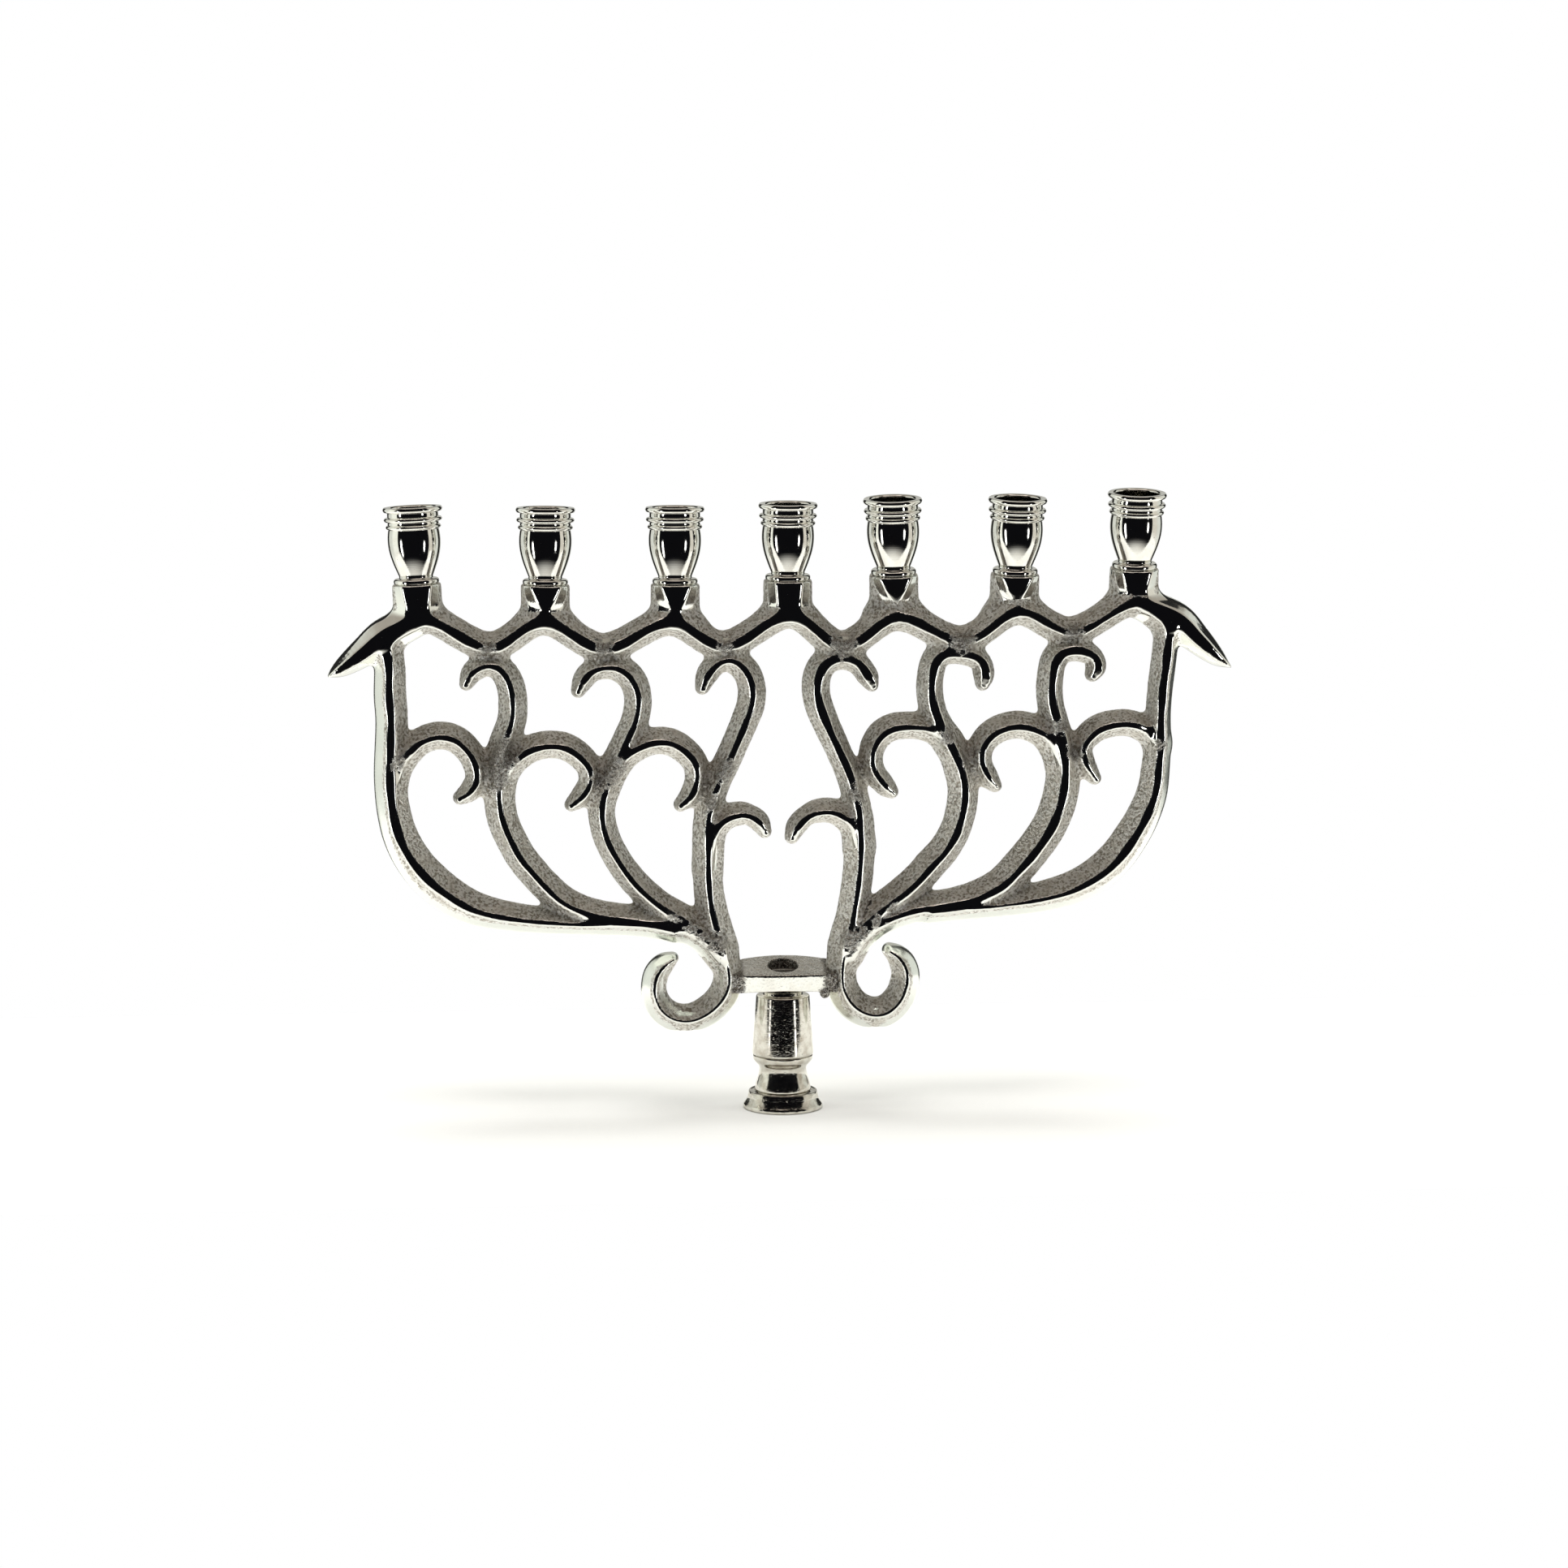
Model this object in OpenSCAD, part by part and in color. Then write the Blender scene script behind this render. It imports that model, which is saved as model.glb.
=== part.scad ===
// Seven-light menorah head: scrolled cast arms under a zig-zag rail, seven screw-on candle cups,
// and a turned stem held together by one long tie bolt.
// Millimetres. X runs along the row of cups, Y from front to back, Z up.
// The origin is the centre of the foot's underside, on the stem's axis.

/* [Castings] */
// Thickness of the flat web of every arm and of the rail
web_t = 8; // [6:0.5:9]
// Thickness over the raised ridge that runs along the middle of every arm
ridge_t = 14; // [11:0.5:14]
// Half the width of the raised ridge
ridge_half = 1.6; // [1.2:0.1:2]
// Half the width of the zig-zag band of the rail
rail_half = 4.5; // [4:0.25:5]
// Radius of the seven posts that carry the cups
post_r = 7.25; // [7:0.05:7.5]

/* [Candle cups] */
// Diameter of the candle hole
candle_d = 14; // [13:0.1:14.4]
// Depth of the candle hole
candle_depth = 14.5; // [12:0.5:15]
// Height of a cup
cup_h = 23.4; // [23:0.1:25]
// Radius of the cup's rim
rim_r = 9.1; // [8.8:0.1:9.4]
// Radius of the cup's foot ring
cup_foot_r = 6.9; // [6.4:0.1:7]
// Radius of the cup's barrel at its fullest
barrel_r = 8; // [7.8:0.05:8.1]

/* [Cup studs] */
// Outer diameter of a stud's thread
stud_d = 4; // [3:0.5:4]
// Length of a stud inside its post
stud_in_post = 8; // [6:0.5:9]
// Length of a stud inside its cup
stud_in_cup = 6; // [4:0.5:6.5]
// Gap around a stud inside its cup
stud_gap = 0.05; // [0.03:0.01:0.1]

/* [Bridge] */
// Depth of the bridge between the two trunks, front to back
bridge_d = 14.5; // [13:0.5:16]
// Height of the bridge's front face
bridge_face_h = 5.8; // [5:0.1:6.5]
// How much higher the bridge is at the back than at the front
bridge_rise = 4; // [3:0.25:5]

/* [Stem] */
// Radius of the column at its top
column_top_r = 8.3; // [8:0.1:8.8]
// Radius of the column at its bottom
column_bottom_r = 9.5; // [9.2:0.1:9.8]
// Height of the column's top edge above the table
column_top_z = 35.6; // [35:0.1:36]
// Height of the joint between the column and the spool
spool_top_z = 16.8; // [16:0.1:17.5]
// Height of the joint between the spool and the foot ring
foot_h = 5.5; // [5:0.1:6]
// Radius of the foot ring at the table
foot_r = 12.4; // [11.5:0.1:13]
// Radius of the foot ring at its upper lip
lip_r = 10.6; // [10:0.1:11]

/* [Tie bolt] */
// Diameter of the tie bolt
bolt_d = 5; // [4:0.5:5]
// Diameter of its countersunk head
bolt_head_d = 9; // [8:0.5:9.5]
// Width across the flats of its nut
nut_af = 8; // [8:0.5:9]

/* [Hidden] */
$fn = 64;

// Each cup's seat: [x, z, lean to the right, lean to the front], as the hand-fitted studs stand
SEATS = [
    [-111.5, 164, -2.5, 0],
    [-72.5, 163.5, 0.5, 0],
    [-33, 163.5, 0, 0],
    [1.5, 164.5, 0, 2],
    [34, 166, -1.5, 5],
    [71.5, 166, 1, 5],
    [108.5, 167.5, 0.5, 6]
];

// Rail: the zig-zag's corners, from left to right
ZIGZAG = [
    [-121, 146.5], [-109, 153.5], [-89.8, 144.7], [-73, 152.5], [-55, 144], [-35, 152], [-18, 144.5],
    [2, 154], [18, 144.2], [35, 153], [55, 145.5], [72, 154.5], [89, 148], [108, 157], [119, 149.5]
];
LEFT_WING = [
    [-139, 135.5], [-137, 140], [-128, 149], [-119, 157], [-113, 155], [-116, 141], [-123, 140],
    [-132, 137]
];
RIGHT_WING = [
    [139, 136], [136, 142], [129, 149], [116, 161], [110, 156], [115, 143], [123, 143], [130, 137.5]
];

// Strokes: [x, z, half width], each from its curled tip to the trunk
L_OUTER = [
    [-121, 147, 4.5], [-120, 139, 4.8], [-120, 130, 5], [-119.6, 122, 5], [-120, 113, 5],
    [-120.3, 104, 5], [-119.3, 94, 5.2], [-116.8, 85, 5.5], [-111.7, 76.5, 5.8], [-104.5, 69.5, 5.8],
    [-95.3, 64, 5.3], [-84, 61.2, 4.6], [-72, 59.8, 4.2], [-58, 59, 4], [-44, 58.5, 4], [-34, 56.5, 4]
];
L_LEAF_1 = [
    [-99.1, 98.3, 2.3], [-96, 100.5, 3.4], [-94, 104, 3.6], [-94.2, 108.5, 4], [-96.5, 113, 4.2],
    [-100.5, 116.5, 4.3], [-105.5, 117.5, 4.3], [-110.5, 116, 4.3], [-114, 113, 4.3], [-117, 109, 4.3],
    [-119, 104, 4]
];
L_HEART_1 = [
    [-96.8, 133.4, 2.3], [-94.8, 137, 3.4], [-91, 139, 3.6], [-87.5, 138.6, 4], [-84.8, 136, 4.2],
    [-83.2, 132, 4.4], [-82.7, 127, 4.5], [-83.2, 121.5, 4.5], [-85.5, 115.5, 4.5], [-87.2, 110, 4.5],
    [-87.3, 104, 4.6], [-87, 97, 4.8], [-86, 91, 4.8], [-83.5, 85, 4.8], [-80.5, 79.5, 4.8],
    [-77, 75, 4.8], [-73, 70.5, 4.8], [-68, 66, 4.8], [-62, 63, 4.6], [-55, 61.3, 4.4], [-46, 60, 4.4],
    [-37, 58.8, 4.4], [-30, 56.5, 4.4], [-24, 53, 4.4], [-19.5, 48, 4.4]
];
L_LEAF_2 = [
    [-65.1, 95.8, 2.3], [-62, 98.5, 3.4], [-59.5, 102.5, 3.6], [-59.5, 107, 4], [-62.5, 111, 4.2],
    [-67, 113.8, 4.3], [-72, 114.4, 4.3], [-77, 113.3, 4.3], [-81.5, 110.5, 4.3], [-85, 106, 4.3],
    [-87, 100, 4]
];
L_HEART_2 = [
    [-62.8, 130.9, 2.3], [-61, 134.5, 3.4], [-58.5, 137, 3.6], [-54.5, 138.3, 4], [-50.5, 137.8, 4.2],
    [-47, 135.3, 4.3], [-45, 131.5, 4.3], [-44.5, 127, 4.3], [-45.5, 121.5, 4.3], [-48, 116, 4.3],
    [-50.8, 110, 4.3], [-53.5, 104, 4.3], [-55.3, 98, 4.3], [-55.8, 92.5, 4.2], [-54.5, 86, 4.2],
    [-51.5, 79.5, 4.2], [-47.5, 73.5, 4.3], [-43, 68.5, 4.4], [-37.5, 63.8, 4.5], [-31, 60, 4.5],
    [-25, 55.5, 4.5], [-20, 50, 4.5]
];
L_LEAF_3 = [
    [-31.6, 95.4, 2.3], [-28.5, 98.5, 3.4], [-26.8, 103, 3.6], [-27, 108, 4], [-30, 112, 4.2],
    [-34.5, 114.8, 4.3], [-39.5, 115.2, 4.3], [-44.5, 113.5, 4.3], [-49, 110.3, 4.3], [-52.3, 106, 4.3],
    [-54.5, 101, 4]
];
L_HEART_3 = [
    [-24.8, 131.5, 2.3], [-23.3, 135.5, 3.4], [-20.5, 138.8, 3.6], [-17, 140.2, 4], [-13.5, 138.8, 4.2],
    [-10.8, 135.5, 4.3], [-9.6, 131, 4.4], [-10, 126, 4.4], [-12, 120.5, 4.3], [-14.8, 114, 4.2],
    [-17.5, 108, 4.2], [-20.3, 102, 4.2], [-22.5, 95.5, 4.3], [-23.5, 88.5, 4.4], [-23.4, 80, 4.4],
    [-23.2, 72, 4.6], [-22.5, 65, 4.8], [-21, 58, 5], [-19, 51, 5]
];
L_SCROLL = [
    [-5.7, 86.9, 2.3], [-7.5, 90, 3.3], [-10.5, 92, 3.4], [-14, 92.4, 3.8], [-18, 91, 4], [-21, 88, 4.2],
    [-22.5, 83.5, 4.4], [-23.2, 76, 4.4]
];
L_FOOT = [
    [-21, 54, 4.8], [-18.4, 48, 4.6], [-17, 41.5, 4.6], [-18.5, 36, 4.8], [-22.5, 31.5, 4.8],
    [-28, 28.8, 4.6], [-33.5, 29, 4.5], [-38, 32, 4.3], [-40, 37, 4], [-39.5, 42, 3.6], [-37, 46, 3],
    [-33.5, 49, 1.8]
];
R_OUTER = [
    [119, 149, 4], [118, 139, 4], [117, 130, 4], [116.5, 122, 4], [116.5, 114, 4.2], [116, 106, 4.5],
    [115, 98, 4.8], [112.5, 91, 5.2], [109, 84.5, 5.5], [104, 77.5, 5.6], [97, 71.5, 5.5],
    [89, 67.5, 5.2], [79, 65, 4.8], [68, 63.5, 4.4], [57, 62.5, 4.2], [46, 61.5, 4]
];
R_LEAF_3 = [
    [96.7, 102.4, 2.3], [93.5, 107, 3.6], [92.5, 111.5, 3.6], [94.5, 115.5, 4], [99, 118.5, 4.2],
    [106, 119.5, 4.2], [112, 117.5, 4.2], [116.5, 113, 4]
];
R_HEART_3 = [
    [95.7, 134.5, 2.3], [96.8, 137, 3.3], [96, 140, 3.2], [93, 141.8, 3.6], [89, 142.5, 4],
    [85.5, 141.5, 4.2], [83.5, 138.5, 4.2], [82.7, 134, 4.2], [82.5, 129, 4.2], [83.2, 124, 4.2],
    [85, 118, 4.2], [86.4, 112, 4.6], [87, 106, 5.2], [86.6, 99, 5.5], [84.8, 92, 5.5], [82, 86, 5.5],
    [78.5, 81, 5.5], [74, 75.5, 5.5], [68, 69.5, 5.3], [61, 66, 5], [53, 64, 4.5], [45, 62.8, 4.5],
    [37, 61, 4.5], [29, 57.5, 4.5], [24, 53, 4.5], [21, 48, 4.5]
];
R_LEAF_2 = [
    [65.7, 100.4, 2.3], [63.5, 103, 3.4], [61.5, 107, 3.6], [61, 111, 4], [62.5, 114.5, 4.2],
    [65.5, 117.2, 4.3], [69.5, 118.8, 4.4], [74, 119, 4.4], [79, 117.3, 4.5], [83, 114, 4.8],
    [86, 108.5, 5]
];
R_HEART_2 = [
    [61.6, 132, 2.3], [62, 135, 3.4], [61, 138.8, 3.4], [57.8, 141, 3.8], [53.5, 142, 4],
    [49.5, 141.8, 4.2], [46.8, 139.5, 4.2], [45.6, 135, 4.2], [45.3, 130, 4.2], [46.2, 124.5, 4.2],
    [48.5, 119, 4.2], [51.5, 113.5, 4.5], [54.2, 107, 4.8], [55.8, 100, 4.8], [55.2, 92.5, 4.8],
    [53.2, 86, 4.8], [50, 80.5, 4.9], [46, 76, 5], [42, 71.5, 5], [37.5, 67.5, 5], [32, 63.5, 4.8],
    [27, 59.5, 4.5], [22.5, 54, 4.5]
];
R_LEAF_1 = [
    [33.6, 98.8, 2.3], [31.2, 101, 3.4], [28.3, 105, 3.5], [27.2, 109, 3.8], [27.8, 113, 4],
    [30, 116.5, 4.2], [33.5, 118.7, 4.3], [38, 119.3, 4.3], [43.5, 118.8, 4.3], [48, 117, 4.5],
    [51.5, 113.5, 4.5]
];
R_HEART_1 = [
    [27.3, 132, 2.3], [26, 134.8, 3.4], [23.5, 138.2, 3.6], [20.5, 140.2, 4], [17, 140.7, 4.2],
    [13.5, 139.5, 4.3], [11.2, 136.8, 4.4], [10.2, 133, 4.4], [10.3, 129, 4.4], [11.5, 124.5, 4.4],
    [14, 118.5, 4.2], [17, 112, 4], [20, 105, 4], [22.2, 98, 4.2], [23.6, 90, 4.6], [23.8, 82, 4.8],
    [23.3, 73.5, 4.8], [22.3, 66, 4.8], [21, 58, 5], [19.4, 51, 5]
];
R_SCROLL = [
    [2.7, 85, 2.3], [4.3, 88.5, 3.3], [7.2, 91.5, 3.3], [11, 93, 3.8], [15, 93, 4], [19, 91, 4.1],
    [22, 87.5, 4.2], [23.6, 82, 4.6]
];
R_FOOT = [
    [20.5, 55, 4.8], [18.8, 49, 4.8], [18, 43, 4.8], [18.7, 37, 5], [21.8, 32.2, 5.1], [26.8, 29.6, 5],
    [32.2, 30.2, 5], [36.5, 34.5, 4.8], [38.2, 40.5, 4.5], [37, 45.5, 3.9], [34.6, 49.2, 3],
    [31.8, 51.4, 1.8]
];

bridge_half = 16;
bridge_z = 37;
spigot_r = 6.2;
bolt_hole_r = bolt_d / 2 + 0.2;
head_h = bolt_head_d / 2 - bolt_d / 2;
head_z = bridge_z + bridge_face_h + bridge_rise * (0.5 - bolt_head_d / 2 / bridge_d) - 0.4;
foot_web_z = 4;
washer_t = 0.8;
nut_h = 3;
nickel = "silver";

function catmull(a, b, c, d, t) =
    0.5 * (2 * b + (c - a) * t + (2 * a - 5 * b + 4 * c - d) * t * t + (3 * b - a - 3 * c + d) * t * t * t);
function curve(p, steps) = let (last = len(p) - 1) concat(
    [for (i = [0 : last - 1], k = [0 : steps - 1])
        catmull(p[max(i - 1, 0)], p[i], p[i + 1], p[min(i + 2, last)], k / steps)],
    [p[last]]
);
function side(c, half, sign) = [
    for (i = [0 : len(c) - 1])
        let (
            a = c[max(i - 1, 0)],
            b = c[min(i + 1, len(c) - 1)],
            run = norm([b[0] - a[0], b[1] - a[1]]),
            w = (half > 0 ? min(half, c[i][2]) : c[i][2]) * sign
        )
        [c[i][0] - w * (b[1] - a[1]) / run, c[i][1] + w * (b[0] - a[0]) / run]
];
function flipped(list) = [for (i = [len(list) - 1 : -1 : 0]) list[i]];

// One tapering stroke; a half width above 0 makes a narrow line along its middle instead
module stroke(points, half = 0) {
    c = curve(points, 3);
    polygon(concat(side(c, half, 1), flipped(side(c, half, -1))));
    translate([c[0][0], c[0][1]]) circle(half > 0 ? min(half, c[0][2]) : c[0][2], $fn = 16);
}
module strokes(list, half = 0) {
    for (points = list) stroke(points, half);
}
module band(points, half) {
    for (p = points) translate(p) circle(half, $fn = 24);
    for (i = [0 : len(points) - 2])
        let (run = points[i + 1] - points[i])
        translate(points[i]) rotate(atan2(run[1], run[0])) translate([0, -half]) square([norm(run), 2 * half]);
}
module upright(t) {
    rotate([90, 0, 0]) linear_extrude(t, center = true) children();
}
// Outlines are swollen and shrunk again by a hair, which joins their pieces into one clean edge
module joined() {
    offset(delta = -0.02) offset(delta = 0.02) children();
}

// Outline of the rail, then of each arm; every outline gives way to those before it
module rail_outline() {
    joined() {
        band(ZIGZAG, rail_half);
        polygon(LEFT_WING);
        polygon(RIGHT_WING);
        for (s = SEATS) polygon([
            [s[0] - post_r, s[1] - 1], [s[0] + post_r, s[1] - 1],
            [s[0] + post_r, s[1] - 8], [s[0] + post_r + 5, s[1] - 15],
            [s[0] - post_r - 5, s[1] - 15], [s[0] - post_r, s[1] - 8]
        ]);
    }
}
module arm_outline(own, before) {
    difference() {
        joined() strokes(own);
        rail_outline();
        for (list = before) joined() strokes(list);
    }
}
module arm(own, before = []) {
    upright(web_t) joined() arm_outline(own, before);
    upright(ridge_t) joined() intersection() {
        strokes(own, ridge_half);
        arm_outline(own, before);
    }
}

module at_seat(i) {
    s = SEATS[i - 1];
    translate([s[0], 0, s[1]]) rotate([s[3], s[2], 0]) children();
}
module candle_rail() {
    color(nickel) difference() {
        union() {
            upright(web_t) rail_outline();
            upright(ridge_t) joined() band(ZIGZAG, ridge_half);
            for (i = [1 : len(SEATS)]) at_seat(i) translate([0, 0, -12]) cylinder(h = 13, r = post_r);
        }
        for (i = [1 : len(SEATS)]) at_seat(i) {
            translate([0, 0, 5]) cube([20, 24, 10], center = true);
            translate([0, 0, -stud_in_post]) cylinder(h = stud_in_post + 1, d = stud_d);
        }
    }
}

L_TRUNK = [L_HEART_3, L_SCROLL];
L_INNER = [L_HEART_2, L_LEAF_3];
L_MIDDLE = [L_HEART_1, L_LEAF_2];
L_SIDE = [L_OUTER, L_LEAF_1];
R_TRUNK = [R_HEART_1, R_SCROLL];
R_INNER = [R_HEART_2, R_LEAF_1];
R_MIDDLE = [R_HEART_3, R_LEAF_2];
R_SIDE = [R_OUTER, R_LEAF_3];

module left_trunk_arm() { color(nickel) arm(L_TRUNK); }
module left_foot_scroll() { color(nickel) arm([L_FOOT], [L_TRUNK]); }
module left_inner_arm() { color(nickel) arm(L_INNER, [L_TRUNK, [L_FOOT]]); }
module left_middle_arm() { color(nickel) arm(L_MIDDLE, [L_TRUNK, [L_FOOT], L_INNER]); }
module left_outer_arm() { color(nickel) arm(L_SIDE, [L_TRUNK, [L_FOOT], L_INNER, L_MIDDLE]); }
module right_trunk_arm() { color(nickel) arm(R_TRUNK); }
module right_foot_scroll() { color(nickel) arm([R_FOOT], [R_TRUNK]); }
module right_inner_arm() { color(nickel) arm(R_INNER, [R_TRUNK, [R_FOOT]]); }
module right_middle_arm() { color(nickel) arm(R_MIDDLE, [R_TRUNK, [R_FOOT], R_INNER]); }
module right_outer_arm() { color(nickel) arm(R_SIDE, [R_TRUNK, [R_FOOT], R_INNER, R_MIDDLE]); }

// Block between the two trunks: its top slopes down to the front, and is drilled and sunk for the tie bolt
module bridge_boss() {
    front = -bridge_d / 2;
    face_top = bridge_z + bridge_face_h;
    color(nickel) difference() {
        rotate([90, 0, 90]) linear_extrude(2 * bridge_half, center = true) polygon([
            [front, bridge_z], [-front, bridge_z], [-front, face_top + bridge_rise], [front, face_top]
        ]);
        upright(bridge_d + 2) joined() strokes([L_HEART_3, L_FOOT]);
        upright(bridge_d + 2) joined() strokes([R_HEART_1, R_FOOT]);
        translate([0, 0, bridge_z - 1]) cylinder(h = 20, r = bolt_hole_r);
        translate([0, 0, head_z - head_h]) cylinder(h = head_h, r1 = bolt_d / 2, r2 = bolt_head_d / 2);
        translate([0, 0, head_z]) cylinder(h = 10, d = bolt_head_d);
    }
}

// Tapered column with a recessed spigot under the bridge
module stem_column() {
    color(nickel) difference() {
        rotate_extrude() polygon([
            [0, spool_top_z], [column_bottom_r - 0.4, spool_top_z], [column_bottom_r, spool_top_z + 0.4],
            [column_bottom_r - 0.3, spool_top_z + 6], [column_top_r, column_top_z - 0.8],
            [column_top_r - 0.8, column_top_z], [spigot_r, column_top_z], [spigot_r, bridge_z], [0, bridge_z]
        ]);
        translate([0, 0, spool_top_z - 1]) cylinder(h = 25, r = bolt_hole_r);
    }
}

// Waisted spool: its side is half a wave from the flange to the waist and on to the foot
module stem_spool() {
    flange_r = column_bottom_r - 0.2;
    waist_r = 7.3;
    base_r = 8.7;
    waist_z = 12.6;
    top_z = spool_top_z - 1.2;
    steps = 8;
    color(nickel) difference() {
        rotate_extrude() polygon(concat(
            [[0, foot_h], [base_r, foot_h]],
            [for (k = [1 : steps]) let (t = k / steps)
                [base_r + (waist_r - base_r) * (1 - cos(180 * t)) / 2, foot_h + (waist_z - foot_h) * t]],
            [for (k = [1 : steps]) let (t = k / steps)
                [waist_r + (flange_r - waist_r) * (1 - cos(90 * t)), waist_z + (top_z - waist_z) * sin(90 * t)]],
            [[flange_r, spool_top_z], [0, spool_top_z]]
        ));
        translate([0, 0, foot_h - 1]) cylinder(h = 20, r = bolt_hole_r);
    }
}

// Flared foot with an upper lip and a pocket underneath for the nut
module foot_ring() {
    pocket_r = 7;
    color(nickel) difference() {
        rotate_extrude() polygon([
            [0, 0], [foot_r - 0.3, 0], [foot_r, 0.5], [foot_r - 0.1, 1.3], [foot_r - 0.8, 2.2],
            [lip_r + 0.2, foot_h - 0.8], [lip_r, foot_h], [0, foot_h]
        ]);
        translate([0, 0, -1]) cylinder(h = foot_web_z + 1, r = pocket_r);
        cylinder(h = 10, r = bolt_hole_r);
    }
}

module tie_bolt() {
    slot_w = 1.2;
    slot_depth = 1;
    tail_z = foot_web_z - washer_t - nut_h;
    color("dimgray") difference() {
        union() {
            translate([0, 0, tail_z]) cylinder(h = head_z - head_h - tail_z, d = bolt_d);
            translate([0, 0, head_z - head_h]) cylinder(h = head_h, r1 = bolt_d / 2, r2 = bolt_head_d / 2);
        }
        translate([0, 0, head_z]) cube([bolt_head_d + 1, slot_w, 2 * slot_depth], center = true);
    }
}
module tie_washer() {
    color("dimgray") translate([0, 0, foot_web_z - washer_t]) difference() {
        cylinder(h = washer_t, d = 2 * bolt_d);
        translate([0, 0, -1]) cylinder(h = 3, r = bolt_hole_r);
    }
}
module tie_nut() {
    color("dimgray") translate([0, 0, foot_web_z - washer_t - nut_h]) difference() {
        cylinder(h = nut_h, d = nut_af / cos(30), $fn = 6);
        translate([0, 0, -1]) cylinder(h = nut_h + 2, d = bolt_d);
    }
}

module cup_stud(i) {
    color("gray") at_seat(i) translate([0, 0, -stud_in_post])
        cylinder(h = stud_in_post + stud_in_cup, d = stud_d);
}

// Turned cup: foot ring, full barrel, then three thin rings up to the rim
module candle_cup(i) {
    neck_r = 5.1;
    neck_z = 2.2;
    shoulder_z = 16.6;
    groove_r = 7.7;
    ring_r = 8.4;
    steps = 14;
    color(nickel) at_seat(i) difference() {
        rotate_extrude() polygon(concat(
            [[0, 0], [cup_foot_r - 0.3, 0], [cup_foot_r, 0.4], [cup_foot_r, 1.2],
             [cup_foot_r - 0.5, 1.7], [neck_r, 1.7]],
            [for (k = [0 : steps]) let (t = k / steps)
                [neck_r + (barrel_r - neck_r) * sin(118 * t), neck_z + (shoulder_z - neck_z) * t]],
            [[ring_r, shoulder_z + 0.2], [ring_r, shoulder_z + 1.2], [groove_r, shoulder_z + 1.5],
             [groove_r, shoulder_z + 2.4], [rim_r - 0.1, shoulder_z + 2.7], [rim_r - 0.1, shoulder_z + 3.7],
             [groove_r, shoulder_z + 4.2], [groove_r, cup_h - 1.6], [rim_r - 0.2, cup_h - 1.1],
             [rim_r, cup_h - 0.6], [rim_r - 0.2, cup_h], [0, cup_h]]
        ));
        translate([0, 0, cup_h - candle_depth]) cylinder(h = candle_depth + 1, d = candle_d);
        translate([0, 0, -1]) cylinder(h = stud_in_cup + 1.5, r = stud_d / 2 + stud_gap);
    }
}

candle_rail();
left_outer_arm();
left_middle_arm();
left_inner_arm();
left_trunk_arm();
left_foot_scroll();
right_outer_arm();
right_middle_arm();
right_inner_arm();
right_trunk_arm();
right_foot_scroll();
bridge_boss();
stem_column();
stem_spool();
foot_ring();
tie_bolt();
tie_washer();
tie_nut();
for (i = [1 : len(SEATS)]) {
    cup_stud(i);
    candle_cup(i);
}
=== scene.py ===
"""A seven-light menorah: cast nickel scrollwork, turned cups and stem.

The casting is made in mm as one smooth solid, and cut into the CAD's castings where they meet.
"""

import math

import bmesh
import bpy
import numpy as np
from mathutils import Matrix, Vector, noise


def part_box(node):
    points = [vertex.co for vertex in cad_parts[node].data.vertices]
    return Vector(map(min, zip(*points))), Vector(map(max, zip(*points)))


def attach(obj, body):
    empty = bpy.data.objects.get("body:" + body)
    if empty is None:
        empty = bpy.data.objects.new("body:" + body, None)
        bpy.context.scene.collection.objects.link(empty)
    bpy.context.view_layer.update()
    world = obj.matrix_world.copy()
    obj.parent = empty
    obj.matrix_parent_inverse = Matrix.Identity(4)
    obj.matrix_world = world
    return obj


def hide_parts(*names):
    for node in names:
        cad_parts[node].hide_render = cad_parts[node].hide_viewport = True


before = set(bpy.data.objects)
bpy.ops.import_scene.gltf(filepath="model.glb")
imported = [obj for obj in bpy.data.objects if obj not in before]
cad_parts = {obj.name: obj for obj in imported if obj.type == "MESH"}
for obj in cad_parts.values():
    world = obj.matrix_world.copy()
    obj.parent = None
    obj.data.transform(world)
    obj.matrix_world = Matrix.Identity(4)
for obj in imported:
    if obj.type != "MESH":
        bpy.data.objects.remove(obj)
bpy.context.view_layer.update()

MM = 0.001
BODY = "root"
CAST = "cast_nickel"
TURNED = "turned_nickel"
STEEL = "fastener_steel"


def top_of(node):
    """The height of a CAD node's top, in mm."""
    return round(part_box(node)[1].z / MM, 3)


# ---- camera and floor
VIEW_TARGET = Vector((-1.1, 0, 97)) * MM
VIEW_AZIMUTH = math.radians(-4.5)
VIEW_ELEVATION = math.radians(8)
VIEW_DISTANCE = 1.2
LENS = 89.44
SHIFT = (0.003, 0.0091)


def add_object(name, data):
    """A new object, linked to the scene."""
    new = bpy.data.objects.new(name, data)
    bpy.context.scene.collection.objects.link(new)
    return new


def make_camera():
    camera = add_object("camera", bpy.data.cameras.new("camera"))
    level = math.cos(VIEW_ELEVATION)
    sine, cosine = math.sin(VIEW_AZIMUTH), math.cos(VIEW_AZIMUTH)
    away = Vector((sine * level, -cosine * level, math.sin(VIEW_ELEVATION)))
    camera.location = VIEW_TARGET + VIEW_DISTANCE * away
    camera.rotation_euler = (-away).to_track_quat("-Z", "Y").to_euler()
    camera.data.lens = LENS
    camera.data.shift_x, camera.data.shift_y = SHIFT
    camera.data.clip_start = 0.05
    bpy.context.scene.camera = camera


# ---- node helpers
def feed(tree, socket, value):
    """Links a socket to a socket, or sets its value."""
    if isinstance(value, bpy.types.NodeSocket):
        tree.links.new(value, socket)
    else:
        socket.default_value = value


def math_node(tree, operation, *values):
    node = tree.nodes.new("ShaderNodeMath")
    node.operation = operation
    for socket, value in zip(node.inputs, values):
        feed(tree, socket, value)
    return node.outputs[0]


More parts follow.
